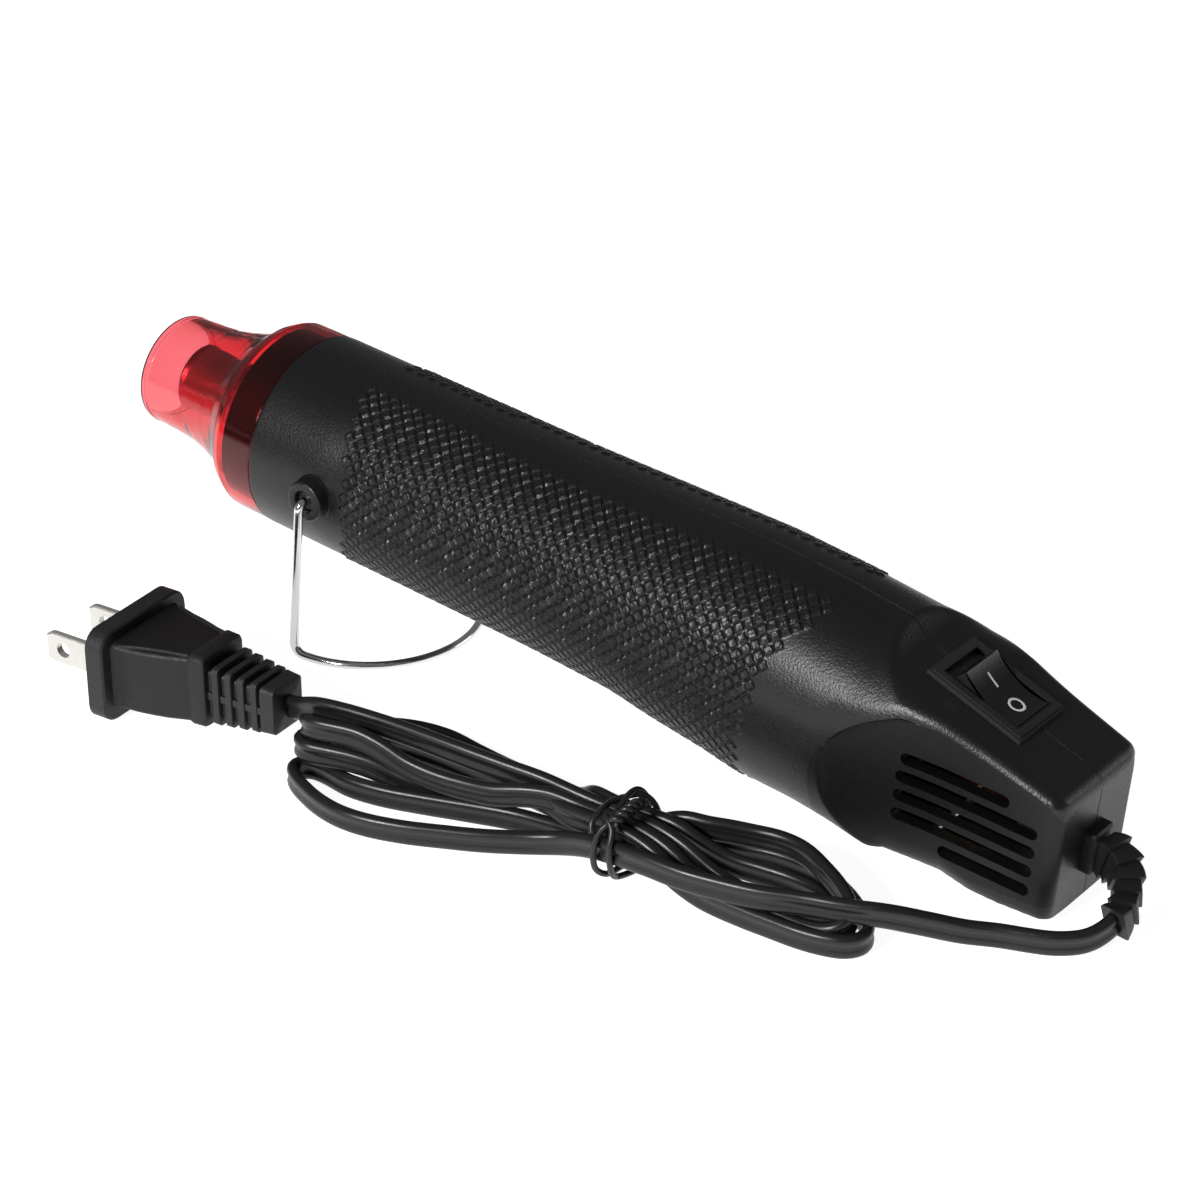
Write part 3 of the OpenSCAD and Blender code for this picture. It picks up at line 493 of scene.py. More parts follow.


# slot or name: dark, pale, roughness from and to, grain, depth, painted edge highlight, specular
# level
PLASTICS = {
    "shell_plastic": ((0.0065, 0.0066, 0.007), (0.009, 0.0092, 0.0097),
        (0.29, 0.41), 2100, 0.00007, 0.10),
    "shell_satin": ((0.0045, 0.0045, 0.005), (0.006, 0.006, 0.0066),
        (0.34, 0.44), 1800, 0.000008, 0.0, 0.36),
    "switch_black": ((0.007, 0.007, 0.0075), (0.010, 0.010, 0.0105),
        (0.42, 0.55), 2200, 0.00002, 0.12),
    "switch_gloss": ((0.006, 0.006, 0.006), (0.009, 0.009, 0.009), (0.24, 0.32), 1400, 0.000003),
    "mark_white": ((0.84, 0.84, 0.82), (0.93, 0.93, 0.91), (0.4, 0.5), 1500, 0.000004),
    "black_resin": ((0.010, 0.010, 0.010), (0.017, 0.017, 0.017), (0.45, 0.6), 1500, 0.00001),
    "soft_pvc": ((0.007, 0.007, 0.0075), (0.010, 0.010, 0.0105),
        (0.42, 0.52), 1600, 0.00001, 0.06),
    "plug_pvc": ((0.008, 0.008, 0.0085), (0.012, 0.012, 0.0125),
        (0.46, 0.58), 1500, 0.0001, 0.10, 0.42),
    "cord_pvc": ((0.010, 0.0105, 0.011), (0.014, 0.0145, 0.015), (0.28, 0.36), 700, 0.000004),
    "tie_pvc": ((0.012, 0.012, 0.013), (0.020, 0.020, 0.021), (0.30, 0.42), 900, 0.00001),
    "mica": ((0.40, 0.33, 0.21), (0.62, 0.53, 0.38), (0.3, 0.5), 500, 0.00002),
    "ceramic_white": ((0.78, 0.77, 0.72), (0.86, 0.85, 0.81), (0.2, 0.3), 500, 0.000004),
    "magnet_grey": ((0.06, 0.06, 0.06), (0.10, 0.10, 0.10), (0.4, 0.5), 900, 0.00001),
    "white_resin": ((0.70, 0.69, 0.64), (0.80, 0.79, 0.75), (0.4, 0.5), 1200, 0.00001),
    "board_green": ((0.03, 0.17, 0.06), (0.05, 0.24, 0.09), (0.25, 0.35), 700, 0.00001),
    "capacitor_blue": ((0.02, 0.04, 0.20), (0.03, 0.06, 0.28), (0.2, 0.3), 500, 0.000002),
    "lead_red": ((0.030, 0.003, 0.003), (0.045, 0.005, 0.004), (0.35, 0.45), 900, 0.00001),
}
looks = {name: textured(name, *values) for name, values in PLASTICS.items()}
looks["fan_resin"] = looks["white_resin"]
# slot: colour, roughness from and to, stretch, line scale, depth, metallic
METALS = {
    "nozzle_steel": ((0.80, 0.79, 0.77), (0.30, 0.42), (1, 14, 14), 500),
    "zinc_steel": ((0.60, 0.61, 0.62), (0.25, 0.4), (1, 8, 8)),
    "polished_steel": ((0.62, 0.62, 0.62), (0.2, 0.32), (10, 10, 1)),
    "copper_rotor": ((0.55, 0.27, 0.14), (0.3, 0.42), (6, 1, 1)),
    "brass": ((0.72, 0.53, 0.24), (0.22, 0.34), (1, 8, 8)),
    "heater_wire": ((0.36, 0.29, 0.25), (0.35, 0.5), (1, 8, 8)),
    "nickel_blade": ((0.86, 0.84, 0.79), (0.22, 0.34), (1.5, 8, 8), 600, 0.000004, 0.75),
    "stand_wire": ((0.88, 0.88, 0.87), (0.10, 0.20), (6, 6, 1), 700, 0.000002),
}
for name, values in METALS.items():
    looks[name] = brushed(name, *values)

clear_red, red_tree, red_shader = node_material(
    "clear_red", Base_Color=(0.97, 0.64, 0.78, 1), Transmission_Weight=1.0, IOR=1.49,
    Roughness=0.03)
red_flow = noise(red_tree, object_place(red_tree), 90, 3)
feed(red_tree, red_shader, Roughness=between(red_tree, red_flow, (0.02, 0.06)))
bump(red_tree, red_shader, red_flow, 0.00001, 0.4)
red_depth = add(red_tree, "VolumeAbsorption", Color=(0.91, 0.06, 0.03, 1), Density=900)
feed(red_tree, red_tree.nodes["Material Output"], Volume=red_depth.outputs[0])

looks["clear_red"] = clear_red
for part in frame["record"]["subparts"]:
    held = nodes[part["node"]]
    held.data.materials.clear()
    held.data.materials.append(looks[part["material_slot"]])


# Cord: one flat two-core cord on edge, from the strain relief through three loops to the plug

CORD_POINTS = [
    # out of the strain relief, along the bench and up over the hank's right end
    (120.6, -8.9, 4.1), (120.0, -11.6, 3.3), (118.4, -15.0, 2.6), (114.6, -18.6, 2.45),
    (110.5, -20.6, 2.45), (105.6, -22.6, 2.5), (100.4, -26.0, 3.0), (95.4, -31.2, 5.4),
    (90.6, -36.0, 7.5), (84.4, -39.2, 7.7), (77.0, -41.7, 7.5), (69.9, -44.6, 7.4),
    (62.7, -46.6, 7.3), (55.3, -48.2, 7.1), (47.5, -48.5, 6.5), (40.0, -48.2, 5.4),
    (33.0, -47.9, 4.2),
    # first loop at the left, on the bench
    (28.0, -48.1, 3.0), (23.5, -49.8, 2.45), (15.3, -54.6, 2.45), (8.5, -58.0, 2.45),
    (1.8, -61.2, 2.45), (-5.5, -63.6, 2.45), (-11.0, -64.2, 2.45), (-16.5, -63.5, 2.45),
    (-21.5, -61.9, 2.45), (-25.6, -60.0, 2.45), (-28.3, -57.4, 2.45), (-27.0, -54.8, 2.45),
    (-23.0, -54.4, 2.45), (-16.5, -55.1, 2.45), (-9.2, -53.9, 2.45), (-1.8, -51.4, 2.45),
    (5.6, -48.6, 2.45), (15.0, -45.4, 2.45), (23.0, -44.2, 2.45), (33.0, -43.6, 2.45),
    # first loop at the right, outermost on the bench
    (38.0, -42.2, 2.45), (42.0, -39.4, 2.45), (46.0, -35.4, 2.45), (50.0, -31.8, 2.45),
    (55.0, -28.6, 2.45), (60.0, -26.8, 2.45), (66.0, -26.2, 2.45), (72.0, -26.7, 2.45),
    (77.6, -28.7, 2.45), (82.6, -31.8, 2.45), (86.6, -35.2, 2.45), (88.2, -38.6, 2.45),
    (86.6, -41.7, 2.45), (82.5, -43.5, 2.45), (78.0, -44.4, 2.45), (72.0, -44.8, 2.45),
    (66.0, -45.1, 2.45), (58.0, -45.2, 2.5), (52.0, -45.1, 3.7), (46.0, -45.1, 6.2),
    (40.0, -45.2, 7.35), (33.0, -45.2, 7.35),
    # second loop at the left
    (27.0, -44.8, 7.35), (21.0, -43.2, 7.35), (15.5, -42.4, 6.4), (10.0, -44.2, 4.5),
    (5.0, -46.1, 3.6), (-1.8, -48.7, 3.5), (-7.5, -50.5, 4.4), (-12.5, -52.3, 6.3),
    (-17.0, -53.9, 7.1), (-21.5, -55.5, 7.3), (-25.8, -56.7, 7.4), (-28.6, -55.4, 7.4),
    (-28.4, -52.6, 7.2), (-25.6, -49.8, 7.0), (-20.5, -46.2, 6.6), (-14.0, -42.8, 6.0),
    (-7.0, -40.0, 4.6), (2.0, -37.9, 3.0), (12.0, -37.1, 2.45), (22.0, -37.8, 2.45),
    (33.0, -38.3, 2.45),
    # second loop at the right, up on the first
    (38.0, -36.9, 3.2), (42.0, -35.6, 5.4), (46.0, -34.2, 7.2), (50.0, -33.0, 7.35),
    (54.0, -31.0, 7.35), (58.1, -29.0, 7.35), (62.0, -27.9, 7.35), (66.2, -27.8, 7.35),
    (70.0, -28.8, 7.35), (74.2, -30.8, 7.3), (78.4, -33.0, 7.2), (82.4, -35.5, 6.6),
    (85.0, -38.1, 5.2), (83.9, -41.0, 3.6), (79.0, -42.1, 2.5), (70.0, -42.2, 2.45),
    (62.0, -42.3, 2.45), (54.0, -42.5, 3.4), (48.0, -42.7, 6.2), (42.0, -42.8, 7.35),
    (33.0, -42.8, 7.35),
    # third loop at the left, highest at its tip
    (27.5, -43.1, 7.9), (22.5, -44.2, 8.9), (17.5, -45.9, 8.7), (12.5, -47.6, 7.8),
    (7.0, -48.6, 7.4), (0.0, -50.0, 7.6), (-6.0, -51.2, 8.8), (-11.0, -52.0, 10.8),
    (-16.0, -53.0, 12.1), (-21.0, -54.4, 12.2), (-25.2, -55.3, 12.0), (-28.2, -53.8, 10.6),
    (-28.4, -50.6, 8.2), (-27.4, -46.4, 6.0), (-26.0, -41.6, 4.6), (-23.6, -36.6, 3.4),
    (-19.0, -32.6, 2.5), (-12.0, -31.2, 2.45), (-4.0, -32.0, 2.45), (4.0, -32.6, 2.45),
    (12.0, -32.8, 2.45), (19.0, -33.7, 2.45), (24.0, -35.2, 4.6), (28.0, -37.0, 7.2),
    (33.0, -38.0, 7.35),
    # third loop at the right, inside the others
    (40.0, -37.9, 7.35), (46.0, -37.1, 7.2), (51.0, -36.0, 5.2), (56.0, -34.2, 3.2),
    (62.0, -32.4, 2.7), (68.0, -31.4, 2.6), (74.0, -32.0, 2.6), (78.6, -34.6, 2.7),
    (77.6, -38.0, 2.6), (70.5, -39.4, 2.45), (62.0, -39.6, 2.45), (56.0, -39.8, 3.6),
    (50.0, -40.1, 6.2), (44.0, -40.3, 7.35), (33.0, -40.4, 7.5),
    # away over the top to the plug
    (27.0, -41.2, 8.6), (20.0, -42.6, 10.4), (12.0, -44.2, 11.4), (2.0, -45.8, 12.2),
    (-8.0, -46.9, 12.6), (-16.0, -48.0, 12.8), (-23.0, -49.3, 12.9), (-28.5, -50.1, 12.4),
    (-32.6, -50.0, 10.8), (-35.9, -49.7, 10.1),
]
WAIST_X, WAIST_LIFT, WAIST_SPREAD = 39.0, 1.35, 15


def lifted(points):
    """The bundle stands on the tie at its waist."""
    p = np.array(points, float)
    bundled = (p[:, 1] < -30) & (p[:, 0] > 0) & (p[:, 0] < 66)
    lift = WAIST_LIFT * np.exp(-((p[:, 0] - WAIST_X) / WAIST_SPREAD) ** 2)
    p[:, 2] += np.where(bundled, lift, 0)
    return p


def cord_section(n=28):
    """Two cores side by side: two circles joined by a narrow waist, on edge."""
    a = np.linspace(0, 2 * math.pi, n, endpoint=False)
    z = np.sin(a)
    y = np.cos(a)
    half = CORD_W / 2
    h = np.sign(z) * (1 - (1 - np.abs(z)) ** 1.15) * half
    core = half - CORD_R
    offset = np.abs(h) - core
    width = np.sqrt(np.clip(CORD_R**2 - offset**2, 0, None))
    width = np.where(np.abs(h) < core, np.maximum(width, CORD_R * 0.62), width)
    return np.column_stack([np.sign(y) * width * (np.abs(y) > 1e-9), h])


cord_line = spline(lifted(CORD_POINTS), 0.9)
cord_shape = Shape()
cord_shape.solid(sweep(cord_line, cord_section(), upright=True))
cord = build("flat_cord", cord_shape, bench, "housing", "cord_pvc",
             ["cord_tool_lead", "cord_hank", "cord_plug_lead"])


# Plug: moulded body with a flange, an inset panel on top and bottom, and a ribbed boot

def loft(sections, n=6):
    """Rows of rounded rectangles: each is (x, half width, bottom, top, corner radius)."""
    rows = []
    for x, half, z0, z1, r in sections:
        ring = rounded_rect(half, (z1 - z0) / 2, min(r, half * 0.98, (z1 - z0) * 0.49), n)
        rows.append(np.insert(ring + (0, (z0 + z1) / 2), 0, x, axis=1))
    return np.array(rows)


plug = Shape()
plug.solid(loft([
    (14.70, 12.3, -9.1, 9.2, 3.2), (14.95, 12.85, -9.6, 9.75, 3.6), (18.6, 12.85, -9.6, 9.75, 3.6),
    (19.0, 12.5, -9.3, 9.4, 3.4), (19.1, 10.4, -7.4, 7.6, 1.6), (19.9, 9.9, -7.0, 7.3, 1.4),
    (21.0, 9.6, -6.9, 7.1, 1.1), (24.0, 9.3, -6.9, 7.15, 1.1), (27.0, 8.7, -6.9, 7.2, 1.1),
    (30.0, 7.9, -6.9, 7.25, 1.1), (33.0, 6.9, -6.8, 7.3, 1.1), (34.5, 6.4, -6.8, 7.3, 1.1),
    (34.7, 6.3, -7.1, 7.9, 1.1), (35.2, 6.4, -7.3, 8.2, 1.2), (37.8, 6.3, -7.2, 8.1, 1.2),
    (38.3, 6.0, -6.9, 7.8, 1.2), (38.5, 4.9, -5.3, 5.2, 1.0), (40.0, 4.6, -5.1, 4.9, 1.0),
    (53.0, 3.9, -4.3, 4.0, 1.0)
]))
for i in range(4):
    x0, k = 39.6 + 2.85 * i, 1 - 0.045 * i
    plug.solid(loft([
        (x0 - 0.02, 5.0 * k, -5.5 * k, 5.5 * k, 0.9), (x0 + 0.2, 5.5 * k, -6.2 * k, 6.2 * k, 1.1),
        (x0 + 1.55, 5.5 * k, -6.2 * k, 6.2 * k, 1.1), (x0 + 1.75, 5.0 * k, -5.5 * k, 5.5 * k, 0.9)
    ]))
plug.solid(loft([
    (50.4, 4.2, -4.4, 4.4, 0.8), (50.6, 4.7, -5.0, 5.0, 1.0), (53.5, 4.5, -4.8, 4.8, 1.0),
    (53.8, 4.1, -4.3, 4.3, 0.8)
]))
plug.solid(loft([(38.2, 5.25, -1.1, 0.5, 0.2), (50.8, 4.55, -1.0, 0.4, 0.2)]))
# raised edges round an inset panel on the upper face
for side in (-1, 1):
    edge = spline([(20.4, side * 9.2, 6.9), (24, side * 8.0, 7.15), (28, side * 6.9, 7.25),
                   (32, side * 5.9, 7.3), (34.4, side * 5.4, 7.35)], 0.6)
    plug.solid(sweep(edge, round_section(0.45, 10)))
plug_piece = build("plug_moulding", plug, plug_place, "housing", "plug_pvc",
                   ["plug_body"], 35)

BLADE_HALF_H, BLADE_HALF_T, BLADE_ROOT, BLADE_Y = 6.35 / 2, 0.75, 22.0, 6.35
HOLE_X, HOLE_R, HOLE_POINTS = 4.1, 1.6, 40
BLADE_BEVEL = 0.2


def to_edge(length, share):
    """How far a ray runs to an edge that lies this far off."""
    return length / share if share > 1e-6 else 1e9


blades = Shape()
for side in (-1, 1):
    hole, rim = [], []
    for k in range(HOLE_POINTS):
        a = 2 * math.pi * k / HOLE_POINTS
        c, s = math.cos(a), math.sin(a)
        hole.append((HOLE_X + HOLE_R * c, HOLE_R * s))
        ray = min(to_edge(BLADE_ROOT - HOLE_X, c), to_edge(HOLE_X, -c),
                  to_edge(BLADE_HALF_H, abs(s)))
        rim.append((HOLE_X + ray * c, ray * s))
    hole, rim = np.array(hole), np.array(rim)
    # chamfered tip
    shave = np.clip(1.2 - rim[:, 0], 0, None) * 0.55
    rim[:, 1] = np.sign(rim[:, 1]) * np.minimum(np.abs(rim[:, 1]), BLADE_HALF_H - shave)
    rows = []
    for ring, y, draw in (
            (hole, -BLADE_HALF_T, 0), (rim, -BLADE_HALF_T, 0.25),
            (rim, -BLADE_HALF_T + BLADE_BEVEL, 0), (rim, BLADE_HALF_T - BLADE_BEVEL, 0),
            (rim, BLADE_HALF_T, 0.25), (hole, BLADE_HALF_T, 0), (hole, -BLADE_HALF_T, 0)):
        q = ring.copy()
        q[:, 1] = np.sign(q[:, 1]) * np.maximum(np.abs(q[:, 1]) - draw, 0)
        q[:, 0] += np.where(q[:, 0] < 1, draw, 0)
        rows.append(np.insert(q, 1, side * BLADE_Y + y, axis=1))
    blades.grid(np.array(rows), wrap=True)
blade_piece = build("plug_blade_pair", blades, plug_place, "housing", "nickel_blade",
                    ["plug_blades"], 30)


# Tie: two turns of coated wire round the waist and their twisted ends

TIE_TURNS = [
    [(38.2, -47.4, 0.9), (37.5, -49.4, 2.6), (37.4, -50.1, 4.8), (37.4, -50.1, 6.9),
     (37.8, -49.0, 10.4), (39.0, -47.4, 12.2), (37.9, -42.8, 12.9), (37.5, -40.1, 13.7),
     (37.4, -37.2, 13.5), (37.8, -35.0, 11.2), (38.4, -34.8, 6.0), (38.8, -35.8, 1.6),
     (38.8, -39.0, 0.65), (38.6, -43.5, 0.65)],
    [(40.4, -47.2, 1.1), (40.8, -49.2, 3.3), (40.9, -49.9, 6.0), (40.8, -49.8, 8.8),
     (40.3, -48.4, 11.6), (38.6, -47.6, 12.9), (36.9, -46.2, 13.3), (36.1, -43.6, 13.4),
     (36.9, -40.6, 13.3), (38.4, -36.8, 12.6), (40.0, -35.1, 10.0), (41.2, -35.0, 5.0),
     (41.6, -36.4, 1.2), (41.6, -41.0, 0.65)],
]
TIE_R, TWIST_TURNS = 0.6, 3
END_SPAN = 40  # points searched for the place where a turn closes
tie = Shape()
for corners in TIE_TURNS:
    closed = spline(corners[-2:] + corners + corners[:3], 0.4)
    gap = np.linalg.norm(closed - np.array(corners[0]), axis=1)
    first, last = np.argmin(gap[:END_SPAN]), len(gap) - END_SPAN + np.argmin(gap[-END_SPAN:])
    tie.solid(sweep(closed[first:last + 1], round_section(TIE_R, 14)))
# the ends, twisted together and bent over the top of the bundle
twist = spline([(40.2, -48.0, 12.9), (40.9, -46.4, 13.8), (41.2, -44.2, 14.3), (41.2, -42.0, 14.3),
                (41.6, -40.6, 13.6)], 0.15)
_, across, over = turning_frames(twist)
turn = np.linspace(0, TWIST_TURNS * 2 * math.pi, len(twist))[:, None]
for phase in (0, math.pi):
    strand = twist + (across * np.cos(turn + phase) + over * np.sin(turn + phase)) * TIE_R
    tie.solid(sweep(strand, round_section(TIE_R, 12)))
stub = spline([(37.2, -50.3, 10.6), (36.6, -49.4, 12.4), (36.7, -47.6, 13.5),
               (36.6, -45.6, 13.8)], 0.3)
tie.solid(sweep(stub, round_section(TIE_R, 12)))
tie_piece = build("wire_tie", tie, bench, "housing", "tie_pvc", ["cord_tie"])


# Strain relief: flange and ribs that bend with the cord

RELIEF_LINE = spline([
    (112.4, 0.0, 11.4), (115.6, -0.5, 10.6), (118.3, -1.8, 8.8), (120.0, -4.2, 6.4),
    (120.8, -7.0, 4.8), (120.6, -8.9, 4.1)
], 0.22)
RIBS, FLANGE_Z, FLANGE_HALF = 6, -10.3, (3.3, 4.5)
relief = Shape()
flange = []
for x, grow in ((184.0, 0.0), (185.9, 0.0), (186.3, -0.4)):
    ring = rounded_rect(FLANGE_HALF[0] + grow, FLANGE_HALF[1] + grow, 1.0, 5)
    flange.append(np.insert(ring + (0, FLANGE_Z), 0, x, axis=1))
relief.solid(tool(flange).reshape(3, -1, 3) * 1000)
# stacked cones: each rib swells towards the cord and drops off sharply
along = np.linspace(0, 1, len(RELIEF_LINE))
saw = (along * RIBS) % 1.0
saw[-1] = 1.0
half_w = (2.55 - 0.65 * along) + 0.72 * saw
half_h = (3.35 - 0.85 * along) + 0.95 * saw
relief.solid(sweep(RELIEF_LINE, [rounded_rect(w, h, 0.7, 5) for w, h in zip(half_w, half_h)],
                   upright=True))
relief_piece = build("strain_relief_moulding", relief, bench, "housing", "soft_pvc",
                     ["strain_relief"], 40)


# Housing: a skin found by marching out from a line inside it

TOP_Y = [(0, 20.1), (16, 20.1), (24, 19.85), (60, 19.85), (85, 20.2), (100, 20.3), (108, 20.5),
         (118, 20.2), (124, 20.2), (131, 20.2), (184, 20.2)]
TOP_Z = [(0, 20.1), (60, 20.3), (85, 20.8), (100, 21.2), (108, 21.3), (118, 21.0), (126, 20.6),
         (133, 20.0), (137, 19.6), (142, 19.2), (184, 19.0)]
LOW_Z = [(0, 20.1), (65, 20.1), (80, 20.5), (95, 21.1), (108, 22.1), (120, 23.2), (135, 23.7),
         (150, 24.0), (160, 23.85), (165, 23.6), (178, 22.5), (184, 22.0)]
LOW_N = [(0, 2), (84, 2.0), (99, 2.32), (109, 2.4), (114, 2.55), (120, 2.68), (128, 2.65),
         (137, 2.83), (147, 3.4), (151, 3.6), (160, 4), (184, 4)]
SCOOP_P = [(0, 24), (130, 24), (136, 21.5), (140, 18.5), (146, 16.0), (152, 14.6), (160, 13.8),
           (184, 13.2)]
LIP_W = [(0, 24), (130, 22), (136, 20.4), (145, 19.3), (152, 17.5), (160, 15.5), (170, 14.3),
         (180, 13.8), (184, 13.6)]
SCOOP_TOP = [(0, -0.4), (124, -0.4), (132, -5.0), (136, -6.0), (137, -3.2), (139.7, 1.4),
             (144.3, 5.8), (148, 8.0), (152.6, 9.7), (158, 9.6), (165, 7.9), (175, 5.2), (184, 2.6)]
CENTRE_Z = [(0, 0), (130, 0), (136, 0.4), (139.7, 2.4), (144.3, 6.5), (148, 8.6), (152.6, 10.2),
            (158, 10.1), (165, 8.4), (175, 5.7), (181, 3.4), (183, 1.8), (184, 0.4)]
LEDGE = 0.5
GRIP_R = 20.2
# roundings: under the tail, nose edge, the panel's lip above and below the ledge
UNDER_ROUND, NOSE_ROUND, LIP_ROUND, LEDGE_ROUND = 0.2, 0.35, 2.0, 0.15
NO_PANEL = 24  # half width at which the panel stands clear of the barrel
STEP_AT, STEP_SLOPE, MELT = (141.7, 19.2), 0.909, 0.5
FACET_FROM, ABOVE_ALL = 141.0, 60.0
STUD_GAP, STUD_RISE, STUD_DISH, PATCH_MARGIN = 0.10, 0.30, 0.3, 0.6
JOINT_DEPTH, JOINT_HALF_W = 0.16, 0.14


def facet_z(x):
    return SWITCH_AT[1] - math.tan(SWITCH_SLOPE) * (x - SWITCH_AT[0])


def corner_max(a, b, r):
    """The larger of two distances, with the corner between them rounded."""
    both = (a > -r) & (b > -r)
    round_ = np.sqrt(np.maximum(a + r, 0) ** 2 + np.maximum(b + r, 0) ** 2) - r
    return np.where(both, round_, np.maximum(a, b))


def end_inset(x, r, end):
    """How far a surface draws in towards an end rounded by r."""
    k = np.clip(x - (end - r), 0, r)
    return r - np.sqrt(np.maximum(r * r - k * k, 0))


def outside(x, y, z):
    """Signed distance, roughly, of points from the housing's skin."""
    y = np.abs(y)
    tail = end_inset(x, TAIL_ROUND, BODY_LEN)
    under = end_inset(x, UNDER_ROUND, BODY_LEN)
    nose = end_inset(-x, NOSE_ROUND, 0.0)
    a = smooth_table(x, TOP_Y) - tail - nose
    top = smooth_table(x, TOP_Z) - nose
    low = smooth_table(x, LOW_Z) - nose
    n = np.where(z < 0, smooth_table(x, LOW_N), 2.0)
    b = np.where(z < 0, low, top)
    ring = ((y / a) ** n + (np.abs(z) / b) ** n) ** (1 / n)
    barrel = (ring - 1) * 20
    lip = smooth_table(x, LIP_W) - tail
    panel = np.minimum(smooth_table(x, SCOOP_P), NO_PANEL) - tail
    lip = np.maximum(lip, panel)
    zt = smooth_table(x, SCOOP_TOP)
    share = np.clip((z - (zt - LEDGE)) / LEDGE, 0, 1)
    side = y - (panel + (lip - panel) * share)
    wall = corner_max(barrel, side, np.where(z > zt, LIP_ROUND, LEDGE_ROUND))
    step = STEP_AT[1] - STEP_SLOPE * (x - STEP_AT[0])
    # the step down from the barrel melts into the switch's facet
    cut = MELT * np.logaddexp(step / MELT, facet_z(x) / MELT)
    cut = np.where(x > FACET_FROM, cut, ABOVE_ALL) - tail
    edge = np.interp(x, [141, 146, 150], [0.5, 1.2, 2.6])
    wall = corner_max(wall, (z - cut) * 0.96, edge)
    bottom = low + np.interp(x, [0, 138, 150], [9, 9, 0]) - under
    bottom_r = np.interp(x, [134, 150, 161, 168, 174, 184], [3, 7, 7.5, 4.2, 3.2, 3.2])
    return corner_max(wall, -z - bottom, bottom_r)


def march(x, angle, centre):
    """Distance from the inner line to the skin, in the plane of constant x."""
    c, s = np.cos(angle), np.sin(angle)
    return bisect(lambda r: outside(x, r * c, centre + r * s) > 0, np.full(x.shape, 0.05),
                  np.full(x.shape, 34.0))


def skin_y(x, z):
    """Half width of the skin at a place seen from the side."""
    return bisect(lambda y: outside(x, y, z) > 0, np.full(x.shape, 1.0), np.full(x.shape, 30.0))


def knurl_edges(z):
    """Where the studded patch begins and ends along the barrel, by height."""
    front = np.interp(z, [-21, -16, -10, -6, 6.4, 13.3, 17.2, 19.8],
                      [17.5, 19.6, 21.8, 22.9, 23.8, 20.9, 18.6, 16.6])
    rear = np.interp(z, [-22, -14.7, -1.6, 5.2, 9.9, 13, 16, 20.1],
                     [120.0, 119.2, 122.2, 123.1, 124.8, 126.3, 128.4, 131.9])
    return front, rear


def knurl(x, phi):
    """Height of the diamond studs at a place on the barrel."""
    around = phi * GRIP_R
    a, b = (x + around) / math.sqrt(2), (x - around) / math.sqrt(2)
    ca, cb = ((np.floor(v / KNURL_PITCH) + 0.5) * KNURL_PITCH for v in (a, b))
    cx, cphi = (ca + cb) / math.sqrt(2), (ca - cb) / math.sqrt(2) / GRIP_R
    cz, cy = GRIP_R * np.sin(cphi), GRIP_R * np.cos(cphi)
    front, rear = knurl_edges(cz)
    strip = np.where(cz > 0, np.interp(cx, [16, 128], [4.6, 6.0]), 4.0)
    inside = ((cx > front + PATCH_MARGIN) & (cx < rear - PATCH_MARGIN)
              & (cy > strip + PATCH_MARGIN))
    d = KNURL_PITCH / 2 - np.maximum(np.abs(a - ca), np.abs(b - cb))
    rise = np.clip((d - STUD_GAP) / STUD_RISE, 0, 1)
    rise = rise * rise * (3 - 2 * rise)
    dish = 1 - STUD_DISH * np.clip((d - 0.40) / 0.6, 0, 1)
    return np.where(inside, KNURL_H * rise * dish, 0.0)


UPPER_N, LEDGE_N, LOWER_N = 126, 4, 156
FINE_STEPS = [0, 0.05, 0.10, 0.16, 0.24, 0.36]
SPREAD_N = 400


def skin_rows():
    """x, angle, radius and centre height for one half of the housing."""
    xs = np.concatenate([
        [0.0, 0.03, 0.1, 0.2, 0.35], np.arange(0.8, 15.6, 0.45), np.arange(15.9, 132.4, 0.25),
        np.arange(132.7, 180.9, 0.36), 181 + 3 * np.sin(np.linspace(0, math.pi / 2, 9))
    ])
    centre = smooth_table(xs, CENTRE_Z)
    zt = smooth_table(xs, SCOOP_TOP)
    panel = np.minimum(smooth_table(xs, SCOOP_P), smooth_table(xs, TOP_Y))
    lip = np.clip(smooth_table(xs, LIP_W), panel, GRIP_R)
    lip_angle = np.arctan2(zt - centre, lip)
    in_angle = np.arctan2(zt - LEDGE - centre, panel)
    tail = xs > 181
    lip_angle[tail] = np.minimum(lip_angle[tail], -0.02)
    in_angle = np.minimum(in_angle, lip_angle - 0.012)

    def spread(start, end, count, fine_end=""):
        """Angles between two that lie evenly along the skin, finer at one end."""
        a = start[:, None] + (end - start)[:, None] * np.linspace(0, 1, SPREAD_N)
        r = march(np.repeat(xs[:, None], SPREAD_N, 1), a, centre[:, None])
        y, z = r * np.cos(a), r * np.sin(a)
        s = np.concatenate([np.zeros((len(xs), 1)),
                            np.cumsum(np.hypot(np.diff(y), np.diff(z)), axis=1)], axis=1)
        out = np.empty((len(xs), count))
        for i, total in enumerate(s[:, -1]):
            want = np.linspace(0, total, count)
            if fine_end:
                want = np.concatenate([
                    FINE_STEPS, np.linspace(0.55, total, count - len(FINE_STEPS))
                ])
            if fine_end == "end":
                want = total - want[::-1]
            out[i] = np.interp(want, s[i], a[i])
        return out

    top = np.full(len(xs), math.pi / 2)
    angle = np.concatenate([
        spread(top, lip_angle, UPPER_N, "start"),
        spread(lip_angle, in_angle, LEDGE_N + 2)[:, 1:],
        spread(in_angle, -top, LOWER_N, "end")[:, 1:]
    ], axis=1)
    x, centre = (np.repeat(v[:, None], angle.shape[1], 1) for v in (xs, centre))
    return x, angle, march(x, angle, centre), centre


